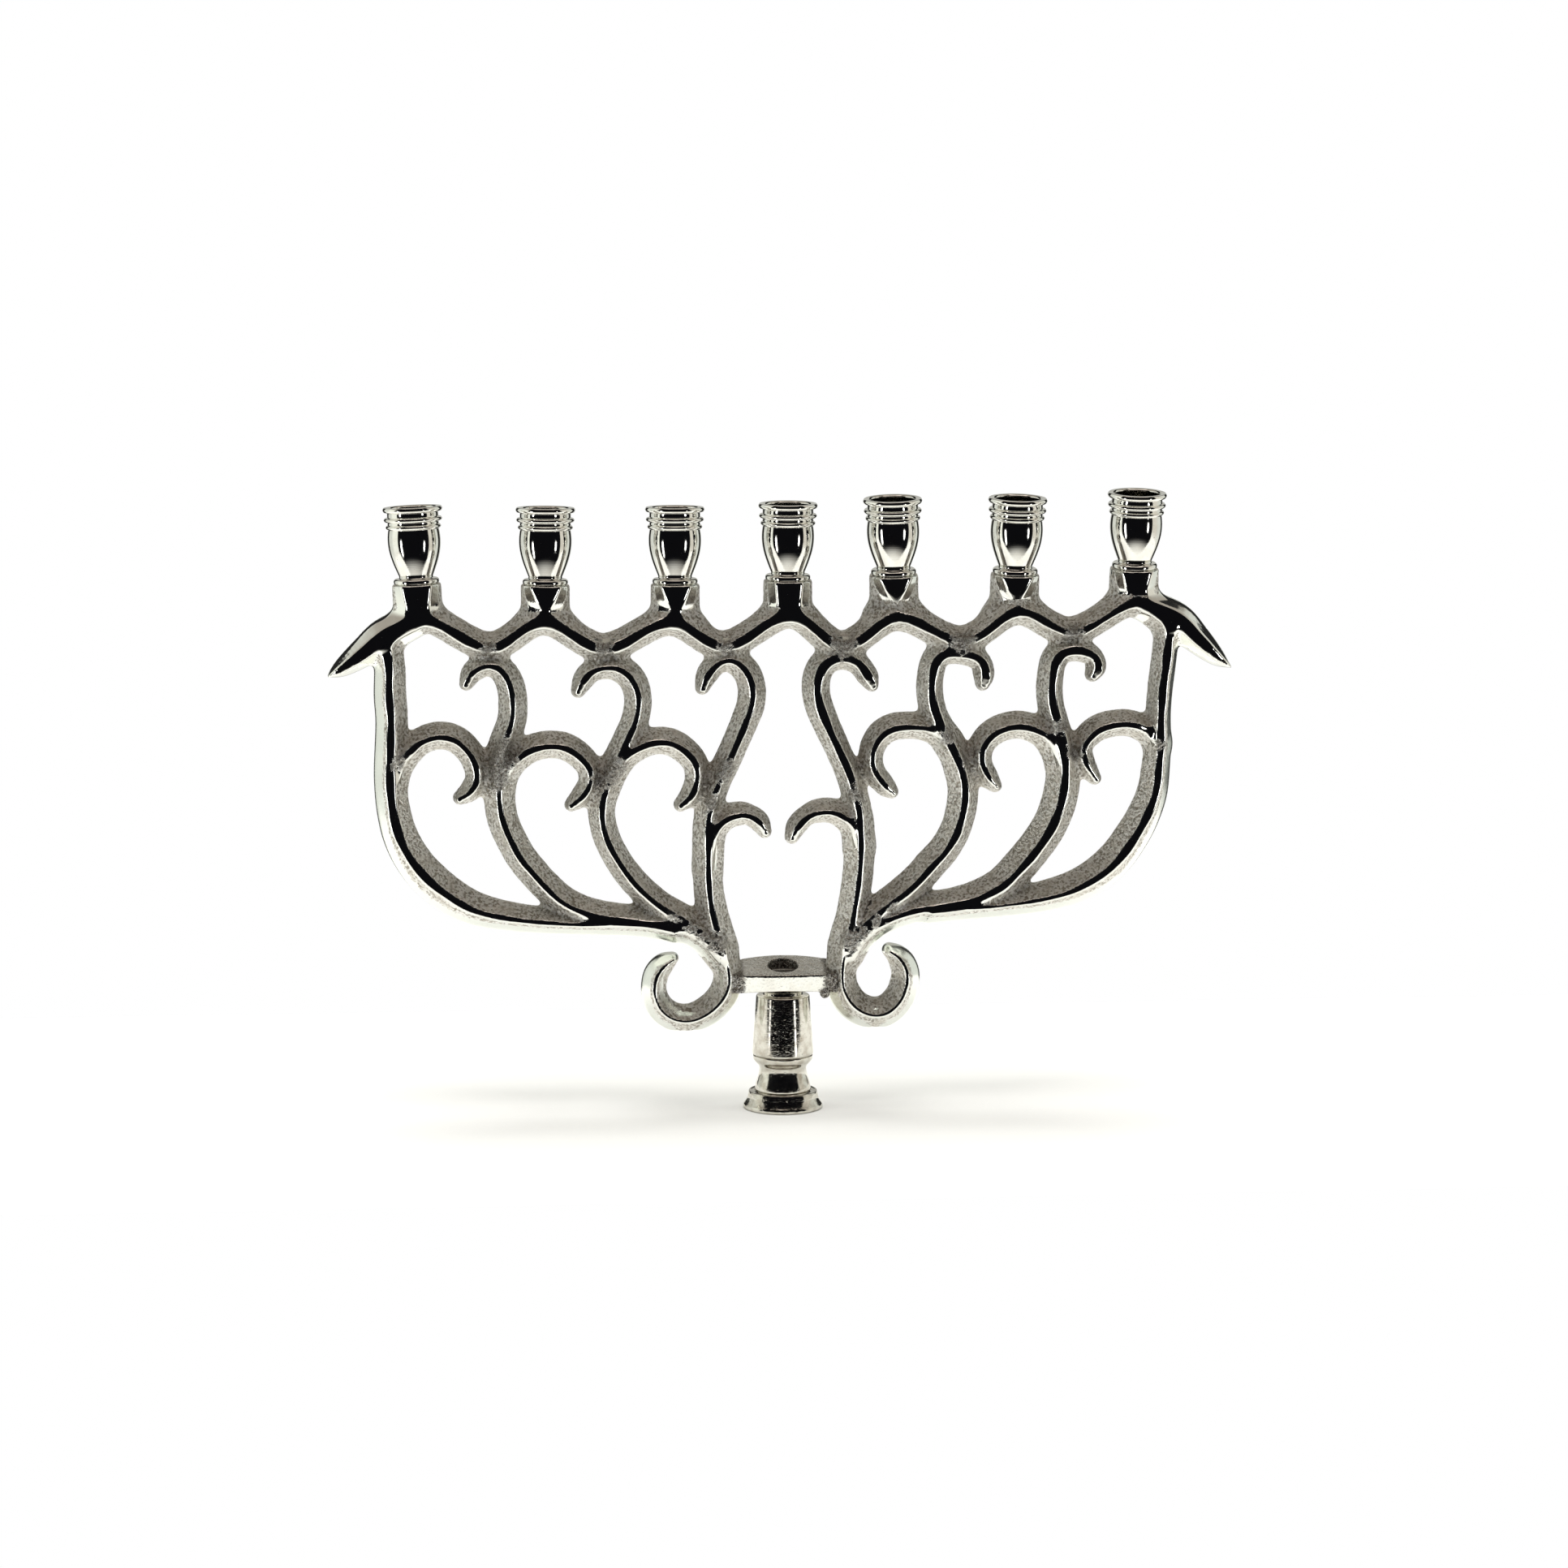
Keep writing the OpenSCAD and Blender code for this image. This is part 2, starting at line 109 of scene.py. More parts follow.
def ramp(tree, value, low, high, start=0.0, end=1.0):
    """Smoothly from start to end as value goes from low to high."""
    node = tree.nodes.new("ShaderNodeMapRange")
    node.interpolation_type = "SMOOTHSTEP"
    feed(tree, node.inputs["Value"], value)
    for name, number in zip(("From Min", "From Max", "To Min", "To Max"), (low, high, start, end)):
        node.inputs[name].default_value = number
    return node.outputs[0]


def mix_colour(tree, share, first, second):
    node = tree.nodes.new("ShaderNodeMix")
    node.data_type = "RGBA"
    feed(tree, node.inputs[0], share)
    feed(tree, node.inputs[6], first)
    feed(tree, node.inputs[7], second)
    return node.outputs[2]


def mix_number(tree, share, first, second):
    node = tree.nodes.new("ShaderNodeMix")
    for socket, value in zip(node.inputs[0:1] + node.inputs[2:4], (share, first, second)):
        feed(tree, socket, value)
    return node.outputs[0]


def grain(tree, scale, detail=2.0, stretch=(1, 1, 1)):
    """Noise from 0 to 1 over the piece; scale times stretch is in features per metre."""
    coordinates = tree.nodes.new("ShaderNodeTexCoord")
    mapping = tree.nodes.new("ShaderNodeMapping")
    mapping.inputs["Scale"].default_value = stretch
    tree.links.new(coordinates.outputs["Object"], mapping.inputs["Vector"])
    node = tree.nodes.new("ShaderNodeTexNoise")
    node.inputs["Scale"].default_value = scale
    node.inputs["Detail"].default_value = detail
    tree.links.new(mapping.outputs[0], node.inputs["Vector"])
    return node.outputs[0]


def attribute(tree, name):
    node = tree.nodes.new("ShaderNodeAttribute")
    node.attribute_name = name
    return node.outputs["Fac"]


def bump(tree, height, distance, strength=1.0, normal=None):
    node = tree.nodes.new("ShaderNodeBump")
    node.inputs["Distance"].default_value = distance
    feed(tree, node.inputs["Strength"], strength)
    tree.links.new(height, node.inputs["Height"])
    if normal is not None:
        tree.links.new(normal, node.inputs["Normal"])
    return node.outputs[0]


def new_material(name, metallic=1.0):
    """A new material, its node tree and its shader."""
    material = bpy.data.materials.new(name)
    material.use_nodes = True
    shader = material.node_tree.nodes["Principled BSDF"]
    shader.inputs["Metallic"].default_value = metallic
    return material, material.node_tree, shader


# ---- studio
# Degrees to the right of the camera's direction, and above the horizon.
# The dark opening in front: sides, soft lower edge, top
DARK_SIDES = (-71, 73)
DARK_LOW = (-56, -34)
DARK_TOP = 60
# A dark seam at each side of the back, and a bright strip over the opening
DARK_BACK = (134, 160)
STRIP = (61, 69)
# The lamps: turns, heights, strength
LAMPS = [((-57, -51), (-28, -5), 7.0), ((48, 53), (-18, -4), 7.0)]
# The tent's colours
TENT_LEFT = (1.0, 1.02, 0.94, 1)
TENT_RIGHT = (0.74, 0.71, 0.64, 1)
TENT_FAR = (0.74, 0.76, 0.71, 1)
TENT_BACK = (0.5, 0.5, 0.47, 1)
TENT_LOW = (1.0, 1.0, 0.95, 1)
TENT_HIGH = (0.4, 0.365, 0.32, 1)
TENT_TOP = (0.26, 0.235, 0.2, 1)
SEAM = (0.02, 0.02, 0.02, 1)
# Through the opening: the foreground and the dark room
FOREGROUND = (0.98, 0.96, 0.9, 1)
ROOM = (0.004, 0.004, 0.005, 1)
STRIP_LIGHT = (1.7, 1.5, 1.38, 1)


def between(tree, value, low, high, soft):
    """1 where value lies between low and high, 0 elsewhere, with soft edges."""
    inside = ramp(tree, value, low - soft, low + soft)
    return math_node(tree, "SUBTRACT", inside, ramp(tree, value, high - soft, high + soft))


def make_world():
    """A white tent, open in front to a dark room, with a lamp at each side."""
    world = bpy.data.worlds.new("studio")
    world.use_nodes = True
    bpy.context.scene.world = world
    tree = world.node_tree
    tree.nodes.clear()
    direction = tree.nodes.new("ShaderNodeTexCoord").outputs["Generated"]
    parts = tree.nodes.new("ShaderNodeSeparateXYZ")
    tree.links.new(direction, parts.inputs[0])
    x, y, z = parts.outputs
    turn = math_node(tree, "ARCTAN2", x, math_node(tree, "MULTIPLY", y, -1.0))
    turn = math_node(tree, "DEGREES", math_node(tree, "SUBTRACT", turn, VIEW_AZIMUTH))
    off_axis = math_node(tree, "ABSOLUTE", turn)
    height = math_node(tree, "DEGREES", math_node(tree, "ARCSINE", z))
    sides = mix_colour(tree, ramp(tree, turn, 20, 60), TENT_LEFT, TENT_RIGHT)
    sides = mix_colour(tree, ramp(tree, off_axis, 95, 112), sides, TENT_FAR)
    sides = mix_colour(tree, ramp(tree, off_axis, DARK_BACK[1], 168), sides, TENT_BACK)
    sides = mix_colour(tree, ramp(tree, height, -30, -10), TENT_LOW, sides)
    sides = mix_colour(tree, ramp(tree, height, 22, 48), sides, TENT_HIGH)
    sides = mix_colour(tree, between(tree, off_axis, *DARK_BACK, 1), sides, SEAM)
    opening = mix_colour(tree, ramp(tree, height, *DARK_LOW), FOREGROUND, ROOM)
    walls = mix_colour(tree, between(tree, turn, *DARK_SIDES, 1.5), sides, opening)
    studio = mix_colour(tree, ramp(tree, height, DARK_TOP - 3, DARK_TOP + 3), walls, TENT_TOP)
    strip = between(tree, height, *STRIP, 1)
    strip = math_node(tree, "MULTIPLY", strip, ramp(tree, off_axis, 70, 90, 1.0, 0.0))
    studio = mix_colour(tree, strip, studio, STRIP_LIGHT)
    for turns, heights, strength in LAMPS:
        across = between(tree, turn, *turns, 1.5)
        upward = between(tree, height, *heights, 3)
        lamp = math_node(tree, "MULTIPLY", across, upward)
        studio = mix_colour(tree, lamp, studio, (strength,) * 3 + (1,))
    seen = tree.nodes.new("ShaderNodeLightPath").outputs["Is Camera Ray"]
    background = tree.nodes.new("ShaderNodeBackground")
    tree.links.new(mix_colour(tree, seen, studio, (1, 1, 1, 1)), background.inputs["Color"])
    output = tree.nodes.new("ShaderNodeOutputWorld")
    tree.links.new(background.outputs[0], output.inputs[0])
    bpy.context.scene.view_settings.view_transform = "Standard"


# The table top's front and back edge, and half its width, in metres
FLOOR = (-0.12, 0.16, 0.5)


def make_floor():
    """A white table top that ends close to the object, so that high polish shows the dark room."""
    mesh = bpy.data.meshes.new("floor")
    front, back, side = FLOOR
    corners = [(-side, front, 0), (side, front, 0), (side, back, 0), (-side, back, 0)]
    mesh.from_pydata(corners, [], [(0, 1, 2, 3)])
    floor = add_object("floor", mesh)
    material, tree, shader = new_material("white_paper", metallic=0.0)
    shader.inputs["Roughness"].default_value = 0.9
    shader.inputs["Specular IOR Level"].default_value = 0.1
    paper = mix_colour(tree, grain(tree, 900, 3), (0.86, 0.87, 0.84, 1), (0.9, 0.9, 0.88, 1))
    feed(tree, shader.inputs["Base Color"], paper)
    mesh.materials.append(material)
    sun = add_object("overhead", bpy.data.lights.new("overhead", "SUN"))
    sun.data.energy = 3.4
    sun.data.angle = math.radians(60)
    sun.visible_glossy = False


# ---- materials
# The castings' sandy walls: hollows, high grains, worn blotches, and a near black for dirt and for painted
# shade in creases
SAND_LOW = (0.4, 0.36, 0.3, 1)
SAND_HIGH = (1.0, 0.985, 0.94, 1)
SAND_WORN = (0.8, 0.76, 0.68, 1)
DIRT_AND_SHADE = (0.05, 0.04, 0.034, 1)
# Their polished ridges: clean, slightly yellowed and satin nickel
CLEAN = (0.90, 0.91, 0.86, 1)
YELLOWED = (0.84, 0.83, 0.77, 1)
SATIN = (0.92, 0.94, 0.88, 1)


def cast_nickel():
    """Nickel-plated casting, sandy, polished, satin, or darkened with dirt and painted crease shade where
    the mesh says so.
    """
    material, tree, shader = new_material("cast_nickel")
    polish = attribute(tree, "polish")
    dirt_and_shade = attribute(tree, "dirt_and_shade")
    satin = attribute(tree, "satin")
    blotch = grain(tree, 260, 3)
    sand = grain(tree, 1150, 3)
    fine = grain(tree, 3200, 2)
    rough_colour = mix_colour(tree, ramp(tree, sand, 0.38, 0.56), SAND_LOW, SAND_HIGH)
    rough_colour = mix_colour(tree, ramp(tree, blotch, 0.42, 0.68, 0.0, 0.6), rough_colour, SAND_WORN)
    # Painted shade and dirt: the near-black goes where the mesh marks creases and unpolished spots, broken
    # up by fine noise
    dirt_and_shade_mix = math_node(tree, "MULTIPLY", dirt_and_shade, ramp(tree, fine, 0.4, 0.58, 1.0, 0.3))
    rough_colour = mix_colour(tree, dirt_and_shade_mix, rough_colour, DIRT_AND_SHADE)
    polish_colour = mix_colour(tree, ramp(tree, blotch, 0.3, 0.8), CLEAN, YELLOWED)
    polish_colour = mix_colour(tree, satin, polish_colour, SATIN)
    feed(tree, shader.inputs["Base Color"], mix_colour(tree, polish, rough_colour, polish_colour))
    rough = ramp(tree, sand, 0.3, 0.7, 0.3, 0.5)
    shiny = ramp(tree, blotch, 0.3, 0.8, 0.05, 0.1)
    shiny = mix_number(tree, satin, shiny, 0.2)
    feed(tree, shader.inputs["Roughness"], mix_number(tree, polish, rough, shiny))
    strength = ramp(tree, polish, 0.0, 1.0, 1.0, 0.015)
    texture = bump(tree, sand, 0.0009, strength)
    texture = bump(tree, fine, 0.00012, strength, texture)
    feed(tree, shader.inputs["Normal"], texture)
    return material


def turned_nickel():
    """Nickel-plated turned brass: mirror bright, with faint rings from the lathe, haze and specks."""
    material, tree, shader = new_material("turned_nickel")
    rings = grain(tree, 100, 2, (0.3, 0.3, 60))
    haze = grain(tree, 380, 3)
    specks = grain(tree, 1600, 2)
    colour = mix_colour(tree, ramp(tree, haze, 0.3, 0.75), (0.90, 0.90, 0.85, 1), (0.82, 0.80, 0.74, 1))
    colour = mix_colour(tree, ramp(tree, specks, 0.66, 0.76), colour, (0.4, 0.36, 0.31, 1))
    feed(tree, shader.inputs["Base Color"], colour)
    feed(tree, shader.inputs["Roughness"], ramp(tree, haze, 0.35, 0.8, 0.035, 0.1))
    feed(tree, shader.inputs["Normal"], bump(tree, rings, 0.00002, 0.35))
    return material


def worn_nickel():
    """The stem's finish: as the cups', but scratched and a little dulled by handling."""
    material, tree, shader = new_material("worn_nickel")
    scratch = grain(tree, 900, 3, (1, 1, 4))
    haze = grain(tree, 420, 4)
    dents = grain(tree, 1100, 2)
    colour = mix_colour(tree, ramp(tree, haze, 0.35, 0.75), (0.72, 0.7, 0.63, 1), (0.5, 0.46, 0.39, 1))
    feed(tree, shader.inputs["Base Color"], colour)
    feed(tree, shader.inputs["Roughness"], ramp(tree, scratch, 0.4, 0.75, 0.07, 0.24))
    marks = bump(tree, scratch, 0.00003, 0.2)
    feed(tree, shader.inputs["Normal"], bump(tree, ramp(tree, dents, 0.58, 0.75), 0.00005, 0.4, marks))
    return material


def fastener_steel():
    """Plain steel, darkened by age, with some rust brown in its low spots."""
    material, tree, shader = new_material("fastener_steel")
    stain = grain(tree, 700, 4)
    colour = mix_colour(tree, ramp(tree, stain, 0.42, 0.7), (0.42, 0.41, 0.39, 1), (0.17, 0.12, 0.085, 1))
    feed(tree, shader.inputs["Base Color"], colour)
    feed(tree, shader.inputs["Roughness"], ramp(tree, stain, 0.3, 0.8, 0.25, 0.6))
    feed(tree, shader.inputs["Normal"], bump(tree, grain(tree, 2600, 3), 0.00006, 0.5))
    return material


# ---- the casting's lines, in mm
# Cup seats: x, z, leans to the right and to the front, half width and depth of the post's shield
SEATS = [
    (-111.5, 164, -2.5, 0, 4.6, 3.2),
    (-72.5, 163.5, 0.5, 0, 5.0, 0.8),
    (-33, 163.5, 0, 0, 4.8, 1.2),
    (1.5, 164.5, 0, 2, 4.2, 3.4),
    (34, 166, -1.5, 5, 5.2, 0.8),
    (71.5, 166, 1, 5, 5.0, 0.8),
    (108.5, 167.5, 0.5, 6, 4.8, 2.6),
]
# The rail's zigzag: x, z
ZIGZAG = [
    (-121, 146.5), (-109, 153.5), (-89.8, 144.7), (-73, 152.5), (-55, 144), (-35, 152), (-18, 144.5),
    (2, 154), (18, 144.2), (35, 153), (55, 145.5), (72, 154.5), (89, 148), (108, 157), (119, 149.5),
]
# Strokes: x, z, half width, each from its curled tip to the trunk
L_OUTER = [
    (-121, 147, 4.5), (-120, 139, 4.8), (-120, 130, 5), (-119.6, 122, 5), (-120, 113, 5), (-120.3, 104, 5),
    (-119.3, 94, 5.2), (-116.8, 85, 5.5), (-111.7, 76.5, 5.8), (-104.5, 69.5, 5.8), (-95.3, 64, 5.3),
    (-84, 61.2, 4.6), (-72, 59.8, 4.2), (-58, 59, 4), (-44, 58.5, 4), (-34, 56.5, 4),
]
L_LEAF_1 = [
    (-99.1, 98.3, 2.3), (-96, 100.5, 3.4), (-94, 104, 3.6), (-94.2, 108.5, 4), (-96.5, 113, 4.2),
    (-100.5, 116.5, 4.3), (-105.5, 117.5, 4.3), (-110.5, 116, 4.3), (-114, 113, 4.3), (-117, 109, 4.3),
    (-119, 104, 4),
]
L_HEART_1 = [
    (-96.8, 133.4, 2.3), (-94.8, 137, 3.4), (-91, 139, 3.6), (-87.5, 138.6, 4), (-84.8, 136, 4.2),
    (-83.2, 132, 4.4), (-82.7, 127, 4.5), (-83.2, 121.5, 4.5), (-85.5, 115.5, 4.5), (-87.2, 110, 4.5),
    (-87.3, 104, 4.6), (-87, 97, 4.8), (-86, 91, 4.8), (-83.5, 85, 4.8), (-80.5, 79.5, 4.8),
    (-77, 75, 4.8), (-73, 70.5, 4.8), (-68, 66, 4.8), (-62, 63, 4.6), (-55, 61.3, 4.4), (-46, 60, 4.4),
    (-37, 58.8, 4.4), (-30, 56.5, 4.4), (-24, 53, 4.4), (-19.5, 48, 4.4),
]
L_LEAF_2 = [
    (-65.1, 95.8, 2.3), (-62, 98.5, 3.4), (-59.5, 102.5, 3.6), (-59.5, 107, 4), (-62.5, 111, 4.2),
    (-67, 113.8, 4.3), (-72, 114.4, 4.3), (-77, 113.3, 4.3), (-81.5, 110.5, 4.3), (-85, 106, 4.3),
    (-87, 100, 4),
]
L_HEART_2 = [
    (-62.8, 130.9, 2.3), (-61, 134.5, 3.4), (-58.5, 137, 3.6), (-54.5, 138.3, 4), (-50.5, 137.8, 4.2),
    (-47, 135.3, 4.3), (-45, 131.5, 4.3), (-44.5, 127, 4.3), (-45.5, 121.5, 4.3), (-48, 116, 4.3),
    (-50.8, 110, 4.3), (-53.5, 104, 4.3), (-55.3, 98, 4.3), (-55.8, 92.5, 4.2), (-54.5, 86, 4.2),
    (-51.5, 79.5, 4.2), (-47.5, 73.5, 4.3), (-43, 68.5, 4.4), (-37.5, 63.8, 4.5), (-31, 60, 4.5),
    (-25, 55.5, 4.5), (-20, 50, 4.5),
]
L_LEAF_3 = [
    (-31.6, 95.4, 2.3), (-28.5, 98.5, 3.4), (-26.8, 103, 3.6), (-27, 108, 4), (-30, 112, 4.2),
    (-34.5, 114.8, 4.3), (-39.5, 115.2, 4.3), (-44.5, 113.5, 4.3), (-49, 110.3, 4.3), (-52.3, 106, 4.3),
    (-54.5, 101, 4),
]
L_HEART_3 = [
    (-24.8, 131.5, 2.3), (-23.3, 135.5, 3.4), (-20.5, 138.8, 3.6), (-17, 140.2, 4), (-13.5, 138.8, 4.2),
    (-10.8, 135.5, 4.3), (-9.6, 131, 4.4), (-10, 126, 4.4), (-12, 120.5, 4.3), (-14.8, 114, 4.2),
    (-17.5, 108, 4.2), (-20.3, 102, 4.2), (-22.5, 95.5, 4.3), (-23.5, 88.5, 4.4), (-23.4, 80, 4.4),
    (-23.2, 72, 4.6), (-22.5, 65, 4.8), (-21, 58, 5), (-19, 51, 5),
]
L_SCROLL = [
    (-5.7, 86.9, 2.3), (-7.5, 90, 3.3), (-10.5, 92, 3.4), (-14, 92.4, 3.8), (-18, 91, 4), (-21, 88, 4.2),
    (-22.5, 83.5, 4.4), (-23.2, 76, 4.4),
]
L_FOOT = [
    (-21, 54, 4.8), (-18.4, 48, 4.6), (-17, 41.5, 4.6), (-18.5, 36, 4.8), (-22.5, 31.5, 4.8),
    (-28, 28.8, 4.6), (-33.5, 29, 4.5), (-38, 32, 4.3), (-40, 37, 4), (-39.5, 42, 4), (-37.2, 45.6, 3.5),
    (-34.2, 47.6, 2),
]
R_OUTER = [
    (119, 149, 4), (118, 139, 4), (117, 130, 4), (116.5, 122, 4), (116.5, 114, 4.2), (116, 106, 4.5),
    (115, 98, 4.8), (112.5, 91, 5.2), (109, 84.5, 5.5), (104, 77.5, 5.6), (97, 71.5, 5.5), (89, 67.5, 5.2),
    (79, 65, 4.8), (68, 63.5, 4.4), (57, 62.5, 4.2), (46, 61.5, 4),
]
R_LEAF_3 = [
    (96.7, 102.4, 2.3), (93.5, 107, 3.6), (92.5, 111.5, 3.6), (94.5, 115.5, 4), (99, 118.5, 4.2),
    (106, 119.5, 4.2), (112, 117.5, 4.2), (116.5, 113, 4),
]
R_HEART_3 = [
    (95.7, 134.5, 2.3), (96.8, 137, 3.3), (96, 140, 3.2), (93, 141.8, 3.6), (89, 142.5, 4),
    (85.5, 141.5, 4.2), (83.5, 138.5, 4.2), (82.7, 134, 4.2), (82.5, 129, 4.2), (83.2, 124, 4.2),
    (85, 118, 4.2), (86.4, 112, 4.6), (87, 106, 5.2), (86.6, 99, 5.5), (84.8, 92, 5.5), (82, 86, 5.5),
    (78.5, 81, 5.5), (74, 75.5, 5.5), (68, 69.5, 5.3), (61, 66, 5), (53, 64, 4.5), (45, 62.8, 4.5),
    (37, 61, 4.5), (29, 57.5, 4.5), (24, 53, 4.5), (21, 48, 4.5),
]
R_LEAF_2 = [
    (65.7, 100.4, 2.3), (63.5, 103, 3.4), (61.5, 107, 3.6), (61, 111, 4), (62.5, 114.5, 4.2),
    (65.5, 117.2, 4.3), (69.5, 118.8, 4.4), (74, 119, 4.4), (79, 117.3, 4.5), (83, 114, 4.8),
    (86, 108.5, 5),
]
R_HEART_2 = [
    (61.6, 132, 2.3), (62, 135, 3.4), (61, 138.8, 3.4), (57.8, 141, 3.8), (53.5, 142, 4),
    (49.5, 141.8, 4.2), (46.8, 139.5, 4.2), (45.6, 135, 4.2), (45.3, 130, 4.2), (46.2, 124.5, 4.2),
    (48.5, 119, 4.2), (51.5, 113.5, 4.5), (54.2, 107, 4.8), (55.8, 100, 4.8), (55.2, 92.5, 4.8),
    (53.2, 86, 4.8), (50, 80.5, 4.9), (46, 76, 5), (42, 71.5, 5), (37.5, 67.5, 5), (32, 63.5, 4.8),
    (27, 59.5, 4.5), (22.5, 54, 4.5),
]
R_LEAF_1 = [
    (33.6, 98.8, 2.3), (31.2, 101, 3.4), (28.3, 105, 3.5), (27.2, 109, 3.8), (27.8, 113, 4),
    (30, 116.5, 4.2), (33.5, 118.7, 4.3), (38, 119.3, 4.3), (43.5, 118.8, 4.3), (48, 117, 4.5),
    (51.5, 113.5, 4.5),
]
R_HEART_1 = [
    (27.3, 132, 2.3), (26, 134.8, 3.4), (23.5, 138.2, 3.6), (20.5, 140.2, 4), (17, 140.7, 4.2),
    (13.5, 139.5, 4.3), (11.2, 136.8, 4.4), (10.2, 133, 4.4), (10.3, 129, 4.4), (11.5, 124.5, 4.4),
    (14, 118.5, 4.2), (17, 112, 4), (20, 105, 4), (22.2, 98, 4.2), (23.6, 90, 4.6), (23.8, 82, 4.8),
    (23.3, 73.5, 4.8), (22.3, 66, 4.8), (21, 58, 5), (19.4, 51, 5),
]
R_SCROLL = [
    (2.7, 85, 2.3), (4.3, 88.5, 3.3), (7.2, 91.5, 3.3), (11, 93, 3.8), (15, 93, 4), (19, 91, 4.1),
    (22, 87.5, 4.2), (23.6, 82, 4.6),
]
R_FOOT = [
    (20.5, 55, 4.8), (18.8, 49, 4.8), (18, 43, 4.8), (18.7, 37, 5), (21.8, 32.2, 5.1), (26.8, 29.6, 5),
    (32.2, 30.2, 5), (36.5, 34.5, 4.8), (38.2, 40.5, 4.5), (37.4, 44.6, 4.2), (35.6, 47.4, 3.4),
    (33.1, 49.2, 2.4),
]

# Wings: the pointed leaves at both ends of the rail
L_WING = [(-138.4, 136.2, 0.7), (-134, 138.8, 3), (-127.5, 143.5, 4.6), (-121, 148.5, 5.4), (-113.5, 152, 5)]
R_WING = [(138.4, 136.8, 0.7), (134, 140, 3), (128, 145.5, 4.6), (121.5, 151.5, 5.4), (112, 156, 5)]

# The castings; each takes the metal that it shares with those after it
CASTINGS = {
    "candle_rail": [],
    "left_trunk_arm": [L_HEART_3, L_SCROLL],
    "right_trunk_arm": [R_HEART_1, R_SCROLL],
    "left_foot_scroll": [L_FOOT],
    "right_foot_scroll": [R_FOOT],
    "left_inner_arm": [L_HEART_2, L_LEAF_3],
    "right_inner_arm": [R_HEART_2, R_LEAF_1],
    "left_middle_arm": [L_HEART_1, L_LEAF_2],
    "right_middle_arm": [R_HEART_3, R_LEAF_2],
    "left_outer_arm": [L_OUTER, L_LEAF_1],
    "right_outer_arm": [R_OUTER, R_LEAF_3],
}
# Strokes with a broad, a slim and a thinning ridge, and leaves, which lie lower at their roots
BROAD = [R_HEART_1, R_HEART_2, R_HEART_3, L_OUTER, R_OUTER]
SLIM = [L_FOOT, R_FOOT]
THINNING = [L_OUTER, R_OUTER]
FADING = [L_LEAF_1, L_LEAF_2, L_LEAF_3, L_SCROLL, R_LEAF_1, R_LEAF_2, R_LEAF_3, R_SCROLL]

# Where no wheel could polish: the rail's valleys and the leaves' roots. x, z, radius
DULL = [
    (-89.8, 145.2, 2.6), (-55, 144.6, 3), (-18, 145, 2.6), (18, 144.8, 4.4), (55, 146, 4.2),
    (89, 148.2, 3.2),
    (-86, 113, 5.5), (-88, 105, 4), (-52.5, 106.5, 5), (-18, 106.5, 4), (-23, 97, 3), (-117.5, 110, 2.2),
    (50, 116.5, 2.4), (84.8, 119, 2.4), (22.4, 99, 3), (24.5, 106, 2), (57, 110, 2.6), (89.5, 111.5, 2.6),
    (-88, 109, 4), (-56, 103.5, 3.4), (116.5, 113, 2), (-20.5, 53.5, 3.4), (20.5, 54, 3.4),
    (-34, 61.5, 1.8), (-28.5, 58.2, 2.2), (-24.5, 55, 2.2), (34, 63.5, 1.8), (28.5, 59.5, 2.2),
    (24.5, 56, 2.2),
]
# The foot scrolls' eyes, where the walls stay rough: x, z, radius
EYES = [(-28.5, 40, 9), (28, 40.5, 9)]

# The casting's grid: corners and spacing
GRID_LOW = (-141, -8.25, 25)
GRID_HIGH = (141, 8.25, 169.5)
STEP = 0.5
# Half the depth over the ridges, and the half width from which a stroke has all of it
HALF_DEPTH = 7.0
FULL_HALF = 4
# Share of its depth that a leaf keeps at its root
LEAF_ROOT = 0.74
# A ridge's half width, what a broad one adds far from its end, and the radius of its top
CROWN = 1.0
CROWN_EXTRA = 0.55
CROWN_ROUND = 4.2
# Shares of that width in a slim ridge, and at the end of a thinning one
SLIM_RIDGE = 0.55
THIN_END = 0.45
# How much a ridge varies in width, as filed by hand
UNEVEN = 0.2
# A wing's bright top: its share of the half width, and its radius
WING_CROWN = 0.42
WING_ROUND = 6.0
# Half the thickness of the arms' outer edge
EDGE_HALF = 1.3
# Posts: radius, length, shield's length, flare at the foot, radius of the shield's bulge
POST_R = 7.4
POST_LONG = 12.5
SHIELD_LONG = 7.5
POST_FLARE = 3.2
POST_ROUND = 13.0
# Half the width of the rail's zigzag band
RAIL_HALF = 4.5
# Over how much distance two strokes flow into each other
FILLET = 2.2
# The satin outer rim: its width, the depth where it ends, and its top
RIM_WIDTH = 3.4
RIM_DEPTH = 6.6
RIM_TOP = 147
# More than any distance inside
BIG = 20.0


def smooth_min(a, b, k):
    near = np.maximum(k - np.abs(a - b), 0) / k
    return np.minimum(a, b) - near * near * k / 4


def smooth_max(a, b, k):
    return -smooth_min(-a, -b, k)


def ease(value):
    """Smoothly from 0 to 1, and flat beyond."""
    value = np.clip(value, 0, 1)
    return value * value * (3 - 2 * value)


def curve(points, steps=6):
    """A Catmull-Rom curve through the points, as rows like theirs."""
    p = np.array(points, float)
    p = np.vstack([p[:1], p, p[-1:]])
    t = np.arange(steps)[:, None] / steps
    rows = []
    for a, b, c, d in zip(p, p[1:], p[2:], p[3:]):
        lower = 2 * b + (c - a) * t + (2 * a - 5 * b + 4 * c - d) * t**2
        rows.append(0.5 * (lower + (3 * b - a - 3 * c + d) * t**3))
    return np.vstack(rows + [p[-1:]])


